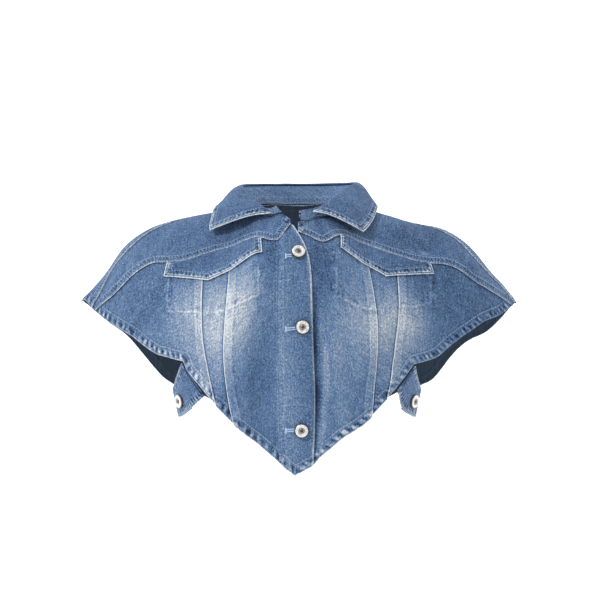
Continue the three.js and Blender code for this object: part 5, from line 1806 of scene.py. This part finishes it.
def add_floor(settings):
    """A sheet that runs level under the vest and bends up behind it."""
    form = bmesh.new()
    level = settings.floor_level
    ends = [form.verts.new((x, -FLOOR_HALF, level)) for x in (-FLOOR_HALF, FLOOR_HALF)]
    edges = pulled(form, [form.edges.new(ends)], (0, FLOOR_HALF + FLOOR_BACK, 0))
    verts = list({vert for edge in edges for vert in edge.verts})
    bend = bmesh.ops.spin(form, geom=verts + edges, axis=(1, 0, 0), cent=(0, FLOOR_BACK, level + FLOOR_BEND),
                          angle=math.pi / 2, steps=FLOOR_STEPS, use_merge=False, use_duplicate=False)
    edges = [part for part in bend["geom_last"] if isinstance(part, bmesh.types.BMEdge)]
    pulled(form, edges, (0, 0, FLOOR_RISE))
    bmesh.ops.recalc_face_normals(form, faces=form.faces)
    for face in form.faces:
        face.smooth = True
    mesh = bpy.data.meshes.new("studio_floor")
    form.to_mesh(mesh)
    form.free()
    floor = add_object("studio_floor", mesh, make_floor(settings))


# Rows of {name, place, size, power}: soft lights aimed at the vest
LIGHTS = (
    ("key", (-1.7, -1.9, 1.7), 0.8, 62),
    ("fill", (1.9, -2.4, 0.6), 1.6, 14),
    ("top", (0.2, 0.1, 2.2), 1.2, 16),
    ("backdrop_left", (-2.4, 1.0, 0.9), 1.4, 60),
    ("backdrop_right", (2.4, 1.0, 0.9), 1.4, 60),
)


def add_lights(context):
    for name, place, size, power in LIGHTS:
        light = bpy.data.lights.new(name, "AREA")
        light.shape = "SQUARE"
        light.size = size
        light.energy = power
        lamp = bpy.data.objects.new(name, light)
        aim = BACKDROP_AIM if name.startswith("backdrop") else MIDDLE
        lamp.location = place
        lamp.rotation_euler = (aim - Vector(place)).to_track_quat("-Z", "Y").to_euler()
        context.scene.collection.objects.link(lamp)
    world = bpy.data.worlds.new("studio")
    world.use_nodes = True
    sky = world.node_tree.nodes["Background"]
    sky.inputs["Color"].default_value = (1, 1, 1, 1)
    sky.inputs["Strength"].default_value = SKY_STRENGTH
    context.scene.world = world
    context.scene.view_settings.view_transform = "Standard"


def add_camera(context, settings):
    lens = bpy.data.cameras.new("camera")
    lens.sensor_width = SENSOR_WIDTH
    lens.lens = lens.sensor_width * settings.camera_distance / settings.view_width
    camera = bpy.data.objects.new("camera", lens)
    camera.location = MIDDLE - Vector((0, settings.camera_distance, 0))
    camera.rotation_euler = (math.pi / 2, 0, 0)
    context.scene.collection.objects.link(camera)
    context.scene.camera = camera


class VEST_PT_panel(bpy.types.Panel):
    """The vest's settings and steps"""
    bl_label = "Cropped denim vest"
    bl_idname = "VEST_PT_panel"
    bl_space_type = "VIEW_3D"
    bl_region_type = "UI"
    bl_category = "Vest"

    def draw(self, context):
        layout = self.layout
        for settings in (context.scene.vest, context.scene.vest_sewing, context.scene.vest_studio):
            box = layout.box()
            for key in settings.__annotations__:
                box.prop(settings, key)
        for operator in OPERATORS:
            layout.operator(operator.bl_idname)


GROUPS = {"vest": VestSettings, "vest_sewing": SewingSettings, "vest_studio": StudioSettings}
OPERATORS = (
    VEST_OT_materials, VEST_OT_fronts, VEST_OT_back, VEST_OT_closure, VEST_OT_flaps, VEST_OT_collar,
    VEST_OT_tabs, VEST_OT_buttons, VEST_OT_sewing, VEST_OT_studio,
)


def register():
    for kind in (*GROUPS.values(), *OPERATORS, VEST_PT_panel):
        bpy.utils.register_class(kind)
    for key, group in GROUPS.items():
        setattr(bpy.types.Scene, key, PointerProperty(type=group))


def unregister():
    for key in GROUPS:
        delattr(bpy.types.Scene, key)
    for kind in reversed((*GROUPS.values(), *OPERATORS, VEST_PT_panel)):
        bpy.utils.unregister_class(kind)


def main():
    register()
    for operator in OPERATORS:
        group, name = operator.bl_idname.split(".")
        getattr(getattr(bpy.ops, group), name)()


if __name__ == "__main__":
    main()
